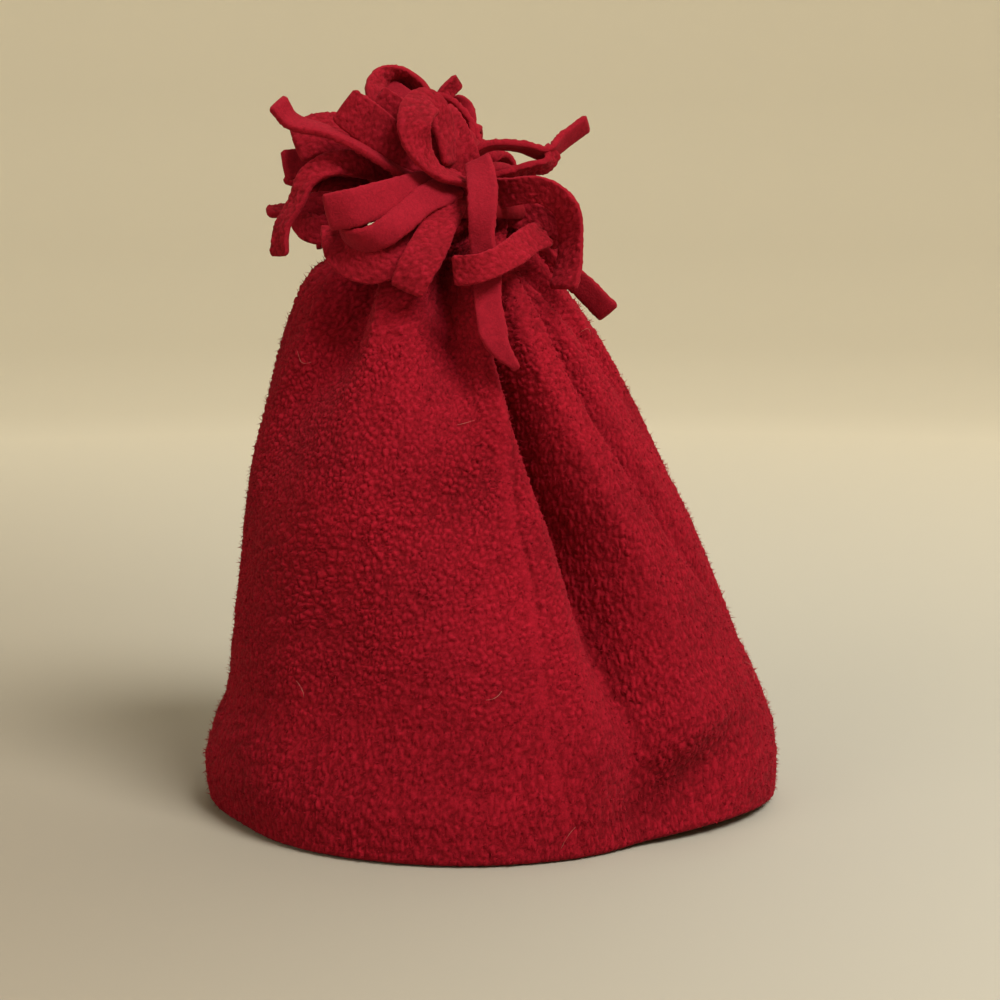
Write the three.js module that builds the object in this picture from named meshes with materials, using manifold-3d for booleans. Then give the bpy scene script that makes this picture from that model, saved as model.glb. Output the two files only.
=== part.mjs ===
// A fringed fleece beanie: a tube of high-pile fleece with one upright seam, its lower edge
// turned up inside, its top gathered and tied, and the cloth above the tie cut into strips.
// Millimetres, +Z up. The rim rests on z = 0, the wearer's front faces -Y, +X is to the right.
import * as THREE from 'three';
import { mergeVertices } from 'three/addons/utils/BufferGeometryUtils.js';
import Module from 'manifold-3d';

// ---- driving sizes (mm, degrees) ----
const CLOTH = 4.0;            // thickness of the crown's cloth with its pile
const HEM_CLOTH = 3.2;        // thickness of the layer turned up inside
const HEM_HEIGHT = 37;        // height of the turned-up layer
const GAP = 0.3;              // clearance between touching pieces
const FRINGE_CLEARANCE = 0.8; // clearance of the fringe from the crown and tie
const RIM_ROUND = 1.6;        // rounding at the outside of the rim
const RIM_FLAT = 1.6;         // width of the flat ring that the rim rests on
const NECK_X = -6.8;          // the gathered neck stands left of the rim's centre
const TIE = { low: 188, high: 194, thick: 3.2 };
const STRIP_THICK = 3.2;      // a fringe strip's thickness
const FRINGE_CORE = { x: -19, y: 1, z: 203, halfX: 23, halfY: 25, halfZ: 17 }; // bunched cloth in the middle of the fringe
const HOLLOW_TOP = 172;       // top of the hollow, under the gathered neck

// ---- crown: level sections, folds and dents ----
const SECTIONS = [ // name, height, then the signed reach to the left, right, front and back of the centre line
  { name: 'rim', z: 0, left: -93.5, right: 94.8, front: -80, back: 78.2 },
  { name: 'hem_low', z: 12, left: -94.8, right: 95, front: -80, back: 78.4 },
  { name: 'hem_mid', z: 24, left: -92.2, right: 93.4, front: -78, back: 77.4 },
  { name: 'hem_top', z: 38, left: -86.8, right: 88.4, front: -75.5, back: 76 },
  { name: 'skirt', z: 56, left: -84.5, right: 80.2, front: -72, back: 72.5 },
  { name: 'low', z: 80, left: -81.6, right: 70.2, front: -66.5, back: 68 },
  { name: 'middle', z: 104, left: -78.8, right: 59.8, front: -61, back: 62 },
  { name: 'high', z: 128, left: -73.5, right: 47.5, front: -53.5, back: 55.5 },
  { name: 'top', z: 148, left: -68.5, right: 36.5, front: -47, back: 49 },
  { name: 'shoulder', z: 162, left: -64, right: 27.5, front: -41.5, back: 43 },
  { name: 'brow', z: 172, left: -58.5, right: 20.5, front: -35.5, back: 36 },
  { name: 'crest', z: 179, left: -47, right: 15.5, front: -29, back: 29 },
  { name: 'neck_base', z: 185, left: -31.5, right: 12.6, front: -21.5, back: 21.5 },
  { name: 'neck', z: 191, left: -26, right: 12, front: -18.5, back: 18.5 },
  { name: 'neck_top', z: 198, left: -26, right: 12.5, front: -19, back: 19 },
];
const FOLD_HEIGHTS = [188, 168, 148, 128, 108, 84, 60, 36];
const FOLDS = [ // one row per fold, each column read at the heights above
  { name: 'left_brow', az: [-34, -37, -44, -56, -60, -60, -60, -60], depth: [4, 15, 12, 5.5, 1.5, 0, 0, 0], halfLeft: [3, 13, 14, 16, 18, 20, 20, 20],
    halfRight: [3, 11, 17, 25, 28, 24, 24, 24], lean: [0, 0, 0, 0, 0, 0, 0, 0], sharp: 0.0 },
  { name: 'pocket', az: [11, 9.5, 8, 6, 6, 6, 6, 6], depth: [4, 19, 14, 3, 0, 0, 0, 0], halfLeft: [3, 12, 18, 24, 28, 30, 30, 30],
    halfRight: [3, 7, 8, 11, 13, 14, 14, 14], lean: [0, 0, 0, 0, 0, 0, 0, 0], sharp: 0.15 },
  { name: 'valley', az: [34, 28, 23.5, 25.5, 29.5, 34, 35.5, 36], depth: [4, 12, 19, 22, 23, 22, 18, 9], halfLeft: [3, 4.5, 6, 8, 11, 15, 18, 20],
    halfRight: [3, 7, 11, 15, 17, 21, 24, 22], lean: [0, 1, 2.5, 2.5, 1.5, 0.5, 0, 0], sharp: 0.72 },
  { name: 'narrow', az: [50, 50, 49, 52, 58.5, 68, 84, 98], depth: [4, 6.5, 6.5, 5.5, 4.5, 3.2, 1.6, 0], halfLeft: [3, 4, 4, 4.5, 5, 7, 9, 9],
    halfRight: [3, 5.5, 7, 8, 9, 10, 9, 9], lean: [0, 0.5, 1.2, 1.2, 1, 0.5, 0, 0], sharp: 0.6 },
  { name: 'right_side', az: [56, 62, 72, 80, 88, 98, 105, 105], depth: [4, 7, 5, 3, 1.5, 0, 0, 0], halfLeft: [3, 7, 9, 11, 12, 12, 12, 12],
    halfRight: [3, 7, 9, 11, 12, 12, 12, 12], lean: [0, 0, 0, 0, 0, 0, 0, 0], sharp: 0.0 },
  { name: 'r_back_1', az: [84, 92, 104, 112, 116, 118, 120, 120], depth: [4, 9, 11, 10, 8, 5, 2, 0], halfLeft: [3, 7, 9, 12, 14, 15, 16, 16],
    halfRight: [3, 8, 11, 14, 17, 18, 19, 19], lean: [0, 0, 0, 0, 0, 0, 0, 0], sharp: 0.3 },
  { name: 'r_back_2', az: [110, 122, 132, 138, 140, 142, 143, 143], depth: [4, 8, 6, 3, 1, 0, 0, 0], halfLeft: [3, 7, 8, 9, 9, 9, 9, 9],
    halfRight: [3, 7, 8, 9, 9, 9, 9, 9], lean: [0, 0, 0, 0, 0, 0, 0, 0], sharp: 0.0 },
  { name: 'back_1', az: [138, 146, 152, 156, 158, 160, 162, 163], depth: [4, 9.5, 12, 11.5, 9.5, 6.5, 3, 0.5], halfLeft: [3, 7, 11, 14, 18, 20, 22, 22],
    halfRight: [3, 6, 8, 10, 12, 14, 15, 15], lean: [0, 0, 0, 0, 0, 0, 0, 0], sharp: 0.4 },
  { name: 'back_2', az: [165, 170, 176, 180, 182, 183, 183, 183], depth: [4, 8, 5.5, 2.5, 0.5, 0, 0, 0], halfLeft: [3, 7, 8, 9, 9, 9, 9, 9],
    halfRight: [3, 7, 8, 9, 9, 9, 9, 9], lean: [0, 0, 0, 0, 0, 0, 0, 0], sharp: 0.0 },
  { name: 'back_3', az: [-166, -164, -160, -157, -155, -153, -152, -152], depth: [4, 9, 11, 10.5, 8.5, 5.5, 2.5, 0], halfLeft: [3, 6, 8, 10, 12, 14, 15, 15],
    halfRight: [3, 8, 11, 14, 17, 19, 20, 20], lean: [0, 0, 0, 0, 0, 0, 0, 0], sharp: 0.4 },
  { name: 'l_back_1', az: [-138, -137, -134, -131, -129, -128, -127, -127], depth: [4, 8, 7, 4, 1.5, 0, 0, 0], halfLeft: [3, 7, 9, 10, 10, 10, 10, 10],
    halfRight: [3, 7, 9, 10, 10, 10, 10, 10], lean: [0, 0, 0, 0, 0, 0, 0, 0], sharp: 0.0 },
  { name: 'l_back_2', az: [-112, -112, -110, -108, -107, -106, -105, -105], depth: [4, 9, 9.5, 8, 6, 3.5, 1.5, 0], halfLeft: [3, 8, 11, 14, 16, 17, 18, 18],
    halfRight: [3, 7, 9, 11, 12, 13, 14, 14], lean: [0, 0, 0, 0, 0, 0, 0, 0], sharp: 0.2 },
  { name: 'left_side', az: [-84, -82, -80, -78, -78, -78, -78, -78], depth: [4, 5, 2, 0.5, 0, 0, 0, 0], halfLeft: [3, 8, 10, 11, 11, 11, 11, 11],
    halfRight: [3, 8, 10, 11, 11, 11, 11, 11], lean: [0, 0, 0, 0, 0, 0, 0, 0], sharp: 0.0 },
  { name: 'l_front', az: [-52, -56, -62, -64, -66, -66, -66, -66], depth: [4, 1.5, 0, 0, 0, 0, 0, 0], halfLeft: [3, 8, 11, 12, 12, 12, 12, 12],
    halfRight: [3, 8, 11, 12, 12, 12, 12, 12], lean: [0, 0, 0, 0, 0, 0, 0, 0], sharp: 0.0 },
];
const DENTS = [
  { name: 'panel_dent', az: 0, z: 107, halfAcross: 10, halfUp: 25, rise: -5, tilt: -55 },
  { name: 'dent_tail', az: -33, z: 66, halfAcross: 16, halfUp: 30, rise: -1.5, tilt: 0 },
  { name: 'seam_swell', az: -4, z: 62, halfAcross: 26, halfUp: 24, rise: 2.8, tilt: 20 },
  { name: 'left_panel', az: -38, z: 108, halfAcross: 24, halfUp: 34, rise: 2.2, tilt: 0 },
  { name: 'hem_roll_r', az: 50, z: 37, halfAcross: 32, halfUp: 11, rise: 3.4, tilt: 14 },
  { name: 'hem_under_r', az: 49, z: 18, halfAcross: 28, halfUp: 12, rise: -5, tilt: 28 },
  { name: 'rim_flat_r', az: 42, z: 0, halfAcross: 54, halfUp: 30, rise: -8, tilt: 0 },
  { name: 'rim_flat_l', az: -66, z: 0, halfAcross: 26, halfUp: 26, rise: -3.2, tilt: 0 },
];

// ---- fringe strips that show at the front and sides ----
const STRIPS = [ // one row per strip: width, roll about its run at its start, middle and end, then the points it passes through
  { name: 'front_pile', width: 10.5, face: 'pile', roll: [0, 0, 0, 0, 0], tip: 'blunt',
    path: [[-11.5, -20, 196], [-14, -30, 189.5], [-18, -41, 180], [-22, -46, 172.5], [-25, -46, 166]] },
  { name: 'smooth_low', width: 8.5, face: 'smooth', roll: [25, 10, 0, 0, -25, -55, -65], tip: 'blunt',
    path: [[-11.5, -20, 197.5], [-19.5, -33, 193.5], [-25.5, -41, 188], [-31, -45, 183.5], [-37, -45, 181], [-42, -41, 182], [-45, -33, 185]] },
  { name: 'smooth_broad', width: 11, face: 'smooth', roll: [40, 20, 0, -5, -15], tip: 'blunt',
    path: [[-12, -18, 199], [-22.5, -32, 196], [-32.5, -42, 193], [-40.5, -47, 190.5], [-48.5, -46, 189]] },
  { name: 'low_loop', width: 9.5, face: 'pile', roll: [-20, 0, 0, 0, 0, 0], tip: 'blunt',
    path: [[-47, -30, 185.5], [-45, -38, 177.5], [-38.5, -42, 173.5], [-31, -42, 174.5], [-24.5, -37, 179], [-18, -26, 185.5]] },
  { name: 'eye_loop', width: 10, face: 'pile', roll: [75, 70, 55, 15, 0, -20, -60, -75], tip: 'blunt',
    path: [[-7.5, -18, 199.5], [-16, -28, 202.5], [-21, -33, 208.5], [-23, -34, 215], [-22, -30, 220], [-19, -22, 223], [-15, -19, 217.5], [-12.5, -18, 204.5]] },
  { name: 'corner_strip', width: 11.5, face: 'pile', roll: [25, 10, 0, 0], tip: 'blunt',
    path: [[-17, -14, 203], [-27, -23, 208.5], [-36, -28, 215.5], [-44.5, -30, 222]] },
  { name: 'corner_under', width: 10, face: 'pile', roll: [10, 0, 0], tip: 'blunt',
    path: [[-13, -10, 206], [-22.5, -18, 214], [-30, -20, 220.5], [-35.5, -18, 224.5]] },
  { name: 'top_arch', width: 9.5, face: 'pile', roll: [60, 40, 35, 60, 70, 60, 50], tip: 'blunt',
    path: [[-20.5, -8, 206.5], [-30, -14, 219], [-34.5, -14, 226], [-33.5, -4, 231.5], [-28, 3, 232.5], [-23, 3, 229.5], [-18, -2, 217.5]] },
  { name: 'top_lining', width: 9, face: 'smooth', roll: [20, 30, 50], tip: 'blunt',
    path: [[-20, -3, 215], [-27.5, -4, 225], [-34.5, -2, 230]] },
  { name: 'top_tip', width: 5.5, face: 'pile', roll: [20, 30, 40, 40], tip: 'blunt',
    path: [[-10, -2, 207], [-14.5, 3, 218.5], [-15.5, 6, 226.5], [-10.5, 9, 233]] },
  { name: 'right_back_arc', width: 7.5, face: 'smooth', roll: [70, 70, 65, 60, 50], tip: 'blunt',
    path: [[-21, 6, 227], [-14.5, 8, 226], [-9, 9, 221], [-5.5, 8, 215], [-5, 2, 203]] },
  { name: 'top_right_pile', width: 9.5, face: 'pile', roll: [20, 10, 10, 30], tip: 'blunt',
    path: [[-6.5, -12, 199.5], [-8.5, -13, 207], [-12, -9, 215.5], [-17, -2, 223.5]] },
  { name: 'long_left', width: 7, face: 'smooth', roll: [40, 72, 78, 75, 60, 40], tip: 'blunt',
    path: [[-18, -16, 199], [-27.5, -25, 202], [-39.5, -30, 209], [-50, -31, 214], [-60, -31, 217], [-64, -33, 222.5]] },
  { name: 'left_upper', width: 8, face: 'pile', roll: [50, 45, 40, 35], tip: 'blunt',
    path: [[-26, -6, 207.5], [-41, -12, 216], [-52, -14, 217.5], [-62, -14, 214]] },
  { name: 'left_upper_low', width: 8.5, face: 'pile', roll: [30, 25, 20, 10], tip: 'blunt',
    path: [[-27.5, -8, 205], [-41.5, -16, 211], [-52.5, -18, 212], [-60, -18, 209]] },
  { name: 'left_drop', width: 7.5, face: 'pile', roll: [10, 0, 5, 25, 50, 55, 45], tip: 'blunt',
    path: [[-24.5, -10, 200.5], [-37, -22, 204], [-47.5, -28, 204.5], [-55.5, -30, 200], [-59, -31, 192.5], [-63, -32, 185.5], [-64, -33, 176.5]] },
  { name: 'left_end', width: 6, face: 'pile', roll: [30, 50, 65], tip: 'blunt',
    path: [[-47, -6, 194], [-60, -9, 191.5], [-70.5, -11, 190.5]] },
  { name: 'left_corner', width: 9.5, face: 'smooth', roll: [10, 10, 5], tip: 'blunt',
    path: [[-34.5, -3, 205.5], [-51.5, -8, 206.5], [-65, -12, 204.5]] },
  { name: 'under_loop', width: 8.5, face: 'pile', roll: [0, 0, 10, 20, 10, 0, 0], tip: 'blunt',
    path: [[-39, -10, 188.5], [-51.5, -12, 192.5], [-57.5, -14, 190.5], [-57.5, -17, 186.5], [-54, -18, 184.5], [-48.5, -16, 186], [-40, -8, 189]] },
  { name: 'right_long', width: 6.5, face: 'smooth', roll: [70, 80, 76, 62, 50, 45], tip: 'blunt',
    path: [[-7.5, -8, 206.5], [-1, -8, 211], [9.5, -6, 211], [17.5, -4, 209], [23.5, 0, 213.5], [31, 3, 219]] },
  { name: 'right_short', width: 6.5, face: 'pile', roll: [60, 70, 72, 60, 40], tip: 'blunt',
    path: [[-3.5, -6, 199.5], [3.5, -9, 201.5], [11.5, -8, 204], [17.5, -6, 205], [20, -3, 210.5]] },
  { name: 'right_loop', width: 8.8, face: 'pile', roll: [10, 10, 15, 30, 40, 40, 35], tip: 'blunt',
    path: [[-5, -10, 195.5], [4.5, -21, 196], [15.5, -25, 196.5], [23, -25, 191], [24.5, -23, 182.5], [24, -24, 174], [22, -27, 166.5]] },
  { name: 'right_inner', width: 9, face: 'pile', roll: [0, 0, 10, 20], tip: 'blunt',
    path: [[-4.5, -8, 193], [7.5, -12, 190], [18, -12, 186], [22, -8, 179.5]] },
  { name: 'right_low', width: 8.5, face: 'pile', roll: [20, 5, 0, 0, 0], tip: 'blunt',
    path: [[16.5, -20, 183.5], [12, -30, 181.5], [5, -43, 176.5], [-3, -49, 173], [-11, -47, 172]] },
  { name: 'hanging', width: 8.3, face: 'smooth', roll: [20, 0, 0, 30, 10, 0, 0, 10], tip: 'point',
    path: [[-4, -24, 206], [-2.5, -33, 197.5], [-2.5, -38, 188.5], [-2.5, -39, 181.5], [-1, -41, 173.5], [-0.5, -45, 161.5], [2, -49, 151], [8, -53, 143.5]] },
  { name: 'rear_low', width: 8, face: 'smooth', roll: [0, 15, 20], tip: 'blunt',
    path: [[15, 0, 179], [28.5, 5, 168], [38.5, 8, 158]] },
  { name: 'right_dark', width: 8.5, face: 'pile', roll: [20, 30, 40], tip: 'blunt',
    path: [[9.5, -4, 180.5], [17.5, -7, 175.5], [21, -8, 168.5]] },
];
const RIM_LIFT = { az: 62, half: 36, up: 2.5, fades: 30 }; // the rim rises a little here

// strips that fill the fringe's sides and back, in tiers round the neck
const FILL = [
  { name: 'upper', count: 7, from: 148, to: 245, reach: 29, rise: 29, end: 214, width: 9.0, lean: 12 },
  { name: 'middle', count: 8, from: 142, to: 282, reach: 40, rise: 20, end: 194, width: 9.5, lean: 9 },
  { name: 'lower', count: 9, from: 104, to: 280, reach: 43, rise: 8, end: 173, width: 9.0, lean: 2 },
];

// ---- small maths ----
const rad = (d) => (d * Math.PI) / 180;
const wrap = (a) => ((((a + 180) % 360) + 360) % 360) - 180;
const bell = (x) => (Math.abs(x) < 1 ? (1 - x * x) ** 2 : 0);
const cusp = (q0) => {
  const q = Math.sqrt(q0 * q0 + 0.01) - 0.1;
  return q < 1 ? (1 - q) ** 2 * (1 + 0.35 * q) : 0;
};
const clamp = (x, a, b) => Math.min(b, Math.max(a, x));

// smooth curve through a table that never overshoots it
function through(xs0, ys0, x0) {
  const down = xs0[0] > xs0[xs0.length - 1];
  const xs = down ? [...xs0].reverse() : xs0;
  const ys = down ? [...ys0].reverse() : ys0;
  const n = xs.length;
  const h = [], d = [], m = new Array(n).fill(0);
  for (let i = 0; i < n - 1; i++) { h.push(xs[i + 1] - xs[i]); d.push((ys[i + 1] - ys[i]) / h[i]); }
  for (let i = 1; i < n - 1; i++) if (d[i - 1] * d[i] > 0) {
    const w1 = 2 * h[i] + h[i - 1], w2 = h[i] + 2 * h[i - 1];
    m[i] = (w1 + w2) / (w1 / d[i - 1] + w2 / d[i]);
  }
  m[0] = d[0]; m[n - 1] = d[n - 2];
  const x = clamp(x0, xs[0], xs[n - 1]);
  let k = n - 2;
  while (k > 0 && xs[k] > x) k--;
  const t = (x - xs[k]) / h[k];
  return (2 * t ** 3 - 3 * t * t + 1) * ys[k] + (t ** 3 - 2 * t * t + t) * h[k] * m[k]
    + (3 * t * t - 2 * t ** 3) * ys[k + 1] + (t ** 3 - t * t) * h[k] * m[k + 1];
}

// run up the cloth from the rim to the neck, 0 to 1, at each section
const RUN = [0];
for (let i = 1; i < SECTIONS.length; i++) {
  const a = SECTIONS[i - 1], b = SECTIONS[i];
  RUN.push(RUN[i - 1] + Math.hypot(b.z - a.z, (b.right - b.left - a.right + a.left) / 2));
}
for (let i = 0; i < RUN.length; i++) RUN[i] = i === RUN.length - 1 ? 1 : RUN[i] / RUN[RUN.length - 1];
const column = (key) => SECTIONS.map((s) => s[key]);
const KEYS = ['z', 'left', 'right', 'front', 'back'];
function sectionAtRun(v) {
  const s = {};
  for (const k of KEYS) s[k] = through(RUN, column(k), v);
  s.cx = (s.left + s.right) / 2; s.cy = (s.front + s.back) / 2;
  s.hw = (s.right - s.left) / 2; s.hd = (s.back - s.front) / 2;
  return s;
}
const atHeight = new Map();
function section(z) {
  if (atHeight.has(z)) return atHeight.get(z);
  let a = 0, b = 1;
  for (let i = 0; i < 40; i++) { const m = (a + b) / 2; if (through(RUN, column('z'), m) < z) a = m; else b = m; }
  const s = sectionAtRun((a + b) / 2);
  s.z = z;
  s.folds = FOLDS.map((f) => ({
    c: through(FOLD_HEIGHTS, f.az, z),
    d: through(FOLD_HEIGHTS, f.depth, z) * (z < 36 ? clamp(z / 36, 0, 1) : 1),
    l: through(FOLD_HEIGHTS, f.halfLeft, z), r: through(FOLD_HEIGHTS, f.halfRight, z),
    lean: through(FOLD_HEIGHTS, f.lean, z), sharp: f.sharp,
  }));
  atHeight.set(z, s);
  return s;
}
const ovalReach = (s, az) => 1 / Math.hypot(Math.sin(rad(az)) / s.hw, Math.cos(rad(az)) / s.hd);

// the crown's outer face: azimuth from the front (-Y), positive to the right
function outer(az, z, inset = 0) {
  const s = section(z);
  const sx = Math.sin(rad(az)), sy = -Math.cos(rad(az));
  const r = ovalReach(s, az);
  let drop = inset, slide = 0;
  for (const f of s.folds) {
    const off = rad(wrap(az - f.c)) * r;
    const q = Math.abs(off / (off > 0 ? f.r : f.l));
    drop += f.d * ((1 - f.sharp) * bell(q) + f.sharp * cusp(q));
    if (off <= 0) slide += f.lean * bell((off / f.l + 0.75) / 0.75);
  }
  for (const p of DENTS) {
    const off = rad(wrap(az - p.az)) * r, dz = z - p.z, t = rad(p.tilt);
    const u = (off * Math.cos(t) + dz * Math.sin(t)) / p.halfAcross;
    const w = (-off * Math.sin(t) + dz * Math.cos(t)) / p.halfUp;
    drop -= p.rise * Math.exp(-1.2 * (u * u + w * w));
  }
  return [s.cx + (r - drop) * sx - slide * sy, s.cy + (r - drop) * sy + slide * sx];
}
const lift = (az, z) => RIM_LIFT.up * bell(wrap(az - RIM_LIFT.az) / RIM_LIFT.half) * clamp(1 - z / RIM_LIFT.fades, 0, 1) ** 2;

// the same section worked inwards by a depth, as cloth of that thickness lies
const ringCache = new Map();
function inner(az, z, depth) {
  if (!ringCache.has(z)) ringCache.set(z, Array.from({ length: 480 }, (_, i) => outer(i * 0.75, z)));
  const s = section(z);
  const ex = Math.sin(rad(az)), ey = -Math.cos(rad(az));
  let reach = Infinity;
  for (const [x, y] of ringCache.get(z)) {
    const px = x - s.cx, py = y - s.cy;
    const along = px * ex + py * ey, across = px * ey - py * ex;
    if (along > 0 && Math.abs(across) < depth) reach = Math.min(reach, along - Math.sqrt(depth * depth - across * across));
  }
  return [s.cx + Math.max(reach, 1) * ex, s.cy + Math.max(reach, 1) * ey];
}

// ---- mesh helpers ----
// joins a list of equal rings of points, one after the other; the last ring joins the first
// when closed, otherwise each end is capped by a point
function skin(rings, ends, mirrored = false) {
  const n = rings[0].length, pos = [], idx = [];
  for (const r of rings) for (const p of r) pos.push(...p);
  const strip = (a, b) => {
    for (let i = 0; i < n; i++) {
      const j = (i + 1) % n;
      const p = a * n + i, q = a * n + j, u = b * n + i, w = b * n + j;
      if (mirrored) idx.push(p, q, u, q, w, u); else idx.push(p, q, w, p, w, u);
    }
  };
  for (let k = 0; k + 1 < rings.length; k++) strip(k, k + 1);
  if (!ends) strip(rings.length - 1, 0);
  else {
    const first = pos.length / 3; pos.push(...ends[0]);
    const last = pos.length / 3; pos.push(...ends[1]);
    const t = (rings.length - 1) * n;
    for (let i = 0; i < n; i++) {
      const j = (i + 1) % n;
      idx.push(first, j, i, last, t + i, t + j);
    }
  }
  const g = new THREE.BufferGeometry();
  g.setAttribute('position', new THREE.Float32BufferAttribute(pos, 3));
  g.setIndex(idx);
  return g;
}
const wasm = await Module();
wasm.setup();
function solid(g) {
  const bare = new THREE.BufferGeometry().setAttribute('position', g.toNonIndexed().getAttribute('position'));
  const one = mergeVertices(bare, 1e-3);
  return new wasm.Manifold(new wasm.Mesh({ numProp: 3, vertProperties: one.attributes.position.array, triVerts: new Uint32Array(one.index.array) }));
}
function toGeometry(manifold) {
  const m = manifold.getMesh();
  const g = new THREE.BufferGeometry();
  g.setAttribute('position', new THREE.Float32BufferAttribute(m.vertProperties, 3));
  g.setIndex([...m.triVerts]);
  return g;
}

// columns round the hat: closer where the folds show most
const COLUMNS = [];
for (const zone of [{ from: -70, to: 0, count: 14 }, { from: 0, to: 62, count: 24 }, { from: 62, to: 106, count: 10 }, { from: 106, to: 290, count: 30 }]) {
  for (let k = 0; k < zone.count; k++) COLUMNS.push(zone.from + ((zone.to - zone.from) * k) / zone.count);
}
const raised = (az, z, p) => [p[0], p[1], z + lift(az, z)];
const ring = (z, make) => COLUMNS.map((az) => raised(az, z, make(az, z)));

// ---- crown ----
const OUTER_ROWS = [1.3, 5, 10, 15, 21, 28, 35, 42, 51, 61, 71, 81, 91, 101, 111, 120, 129, 137, 145, 152, 158, 164, 169, 173.5, 177.5, 181, 184, 187, 191, 195, 198];
const INNER_ROWS = [1.5, 8, 20, HEM_HEIGHT - 2, 46, 60, 76, 93, 110, 126, 140, 151, 160, 167, HOLLOW_TOP];
const slant = (z) => CLOTH * (z < 148 ? 1 : 1 + 0.6 * ((z - 148) / 24) ** 1.5); // cloth that leans over measures more across
const crownRings = [];
crownRings.push([...ring(HOLLOW_TOP, (az, z) => inner(az, z, slant(z)))]);
for (const z of [...INNER_ROWS].reverse().slice(1)) crownRings.push(ring(z, (az) => inner(az, z, slant(z))));
crownRings.push(ring(0, (az, z) => inner(az, z, RIM_ROUND + RIM_FLAT)));
crownRings.push(ring(0, (az, z) => inner(az, z, RIM_ROUND)));
for (const z of OUTER_ROWS) crownRings.push(ring(z, (az) => outer(az, z, z < 2 ? 0.5 : 0)));
const top = section(198), under = section(HOLLOW_TOP);
const crown = skin(crownRings, [[under.cx + 6, under.cy, HOLLOW_TOP + 2.5], [top.cx, top.cy, 198]]);

// ---- layer turned up inside the rim ----
const IN = CLOTH + GAP + HEM_CLOTH;
const within = (az, z, by) => { // the crown's inner face, drawn in towards the middle
  const s = section(z), [x, y] = inner(az, z, CLOTH), r = Math.hypot(x - s.cx, y - s.cy);
  return [s.cx + ((x - s.cx) * (r - by)) / r, s.cy + ((y - s.cy) * (r - by)) / r];
};
const OUT = GAP * 1.4;
const hemRows = [1.5, 8, 20, HEM_HEIGHT - 2];
const hemRings = [
  ring(0, (az, z) => inner(az, z, IN - 0.9)),
  ring(0, (az, z) => within(az, z, OUT + 0.7)),
  ...hemRows.map((z) => ring(z, (az) => within(az, z, OUT))),
  ring(HEM_HEIGHT, (az, z) => within(az, z, OUT + 0.9)),
  ring(HEM_HEIGHT, (az, z) => inner(az, z, IN - 0.9)),
  ...[HEM_HEIGHT - 2, 8, 1.5].map((z) => ring(z, (az) => inner(az, z, IN))),
];
const hem = skin(hemRings, null, true); // its faces split as those of the crown beside it do

// ---- tie round the gathered neck ----
const TIE_COLUMNS = Array.from({ length: 32 }, (_, i) => (i * 360) / 32);
const neckOval = (az, z, out) => {
  const s = section(z), r = ovalReach(s, az) + out;
  return [s.cx + r * Math.sin(rad(az)), s.cy - r * Math.cos(rad(az)), z];
};
function band(low, high, clear, thick) {
  const mid = (low + high) / 2;
  const rows = [[low, clear + 0.9], [mid, clear], [high, clear + 0.9], [high, clear + thick - 0.9], [mid, clear + thick], [low, clear + thick - 0.9]];
  return skin(rows.reverse().map(([z, out]) => TIE_COLUMNS.map((az) => neckOval(az, z, out))), null);
}
const TIE_CLEAR = 0.5;
const tie = band(TIE.low, TIE.high, TIE_CLEAR, TIE.thick);

// ---- fringe ----
// a flat strip along a curve, as short straight lengths; the broad side faces `toward`, turned by the roll
function ribbon(path, width, roll, tip, toward) {
  const curve = new THREE.CatmullRomCurve3(path.map((p) => new THREE.Vector3(...p)), false, 'centripetal');
  const steps = clamp(Math.round(curve.getLength() / 7), 4, 11);
  const rings = [];
  let side = null;
  for (let i = 0; i <= steps; i++) {
    const t = i / steps, p = curve.getPointAt(t), run = curve.getTangentAt(t);
    const across = new THREE.Vector3().crossVectors(run, toward);
    if (side === null || across.length() > 0.35) side = across.clone().normalize();
    else side = side.clone().addScaledVector(run, -side.dot(run)).normalize();
    const at = t * (roll.length - 1), k = Math.min(Math.floor(at), roll.length - 2);
    const turn = rad(roll[k] + (roll[k + 1] - roll[k]) * (at - k));
    const w = side.clone().applyAxisAngle(run, turn), n = new THREE.Vector3().crossVectors(w, run);
    const taper = tip === 'point' && t > 0.8 ? 1 - 0.75 * ((t - 0.8) / 0.2) : 1;
    const a = (width / 2) * taper, b = STRIP_THICK / 2;
    rings.push([[-a, -b], [-a, b], [a, b], [a, -b]].map(([u, v]) => p.clone().addScaledVector(w, u).addScaledVector(n, v).toArray()));
  }
  return rings.slice(1).map((r, i) => wasm.Manifold.hull([...rings[i], ...r]));
}
const FRONT = new THREE.Vector3(0, -1, 0);
const pieces = STRIPS.flatMap((s) => ribbon(s.path, s.width, s.roll, s.tip, FRONT));
const vary = (k, tier, n) => { const v = Math.sin(12.9898 * (k + 1) + 78.233 * (tier + 1) + 37.719 * n) * 43758.5453; return v - Math.floor(v); };
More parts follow.
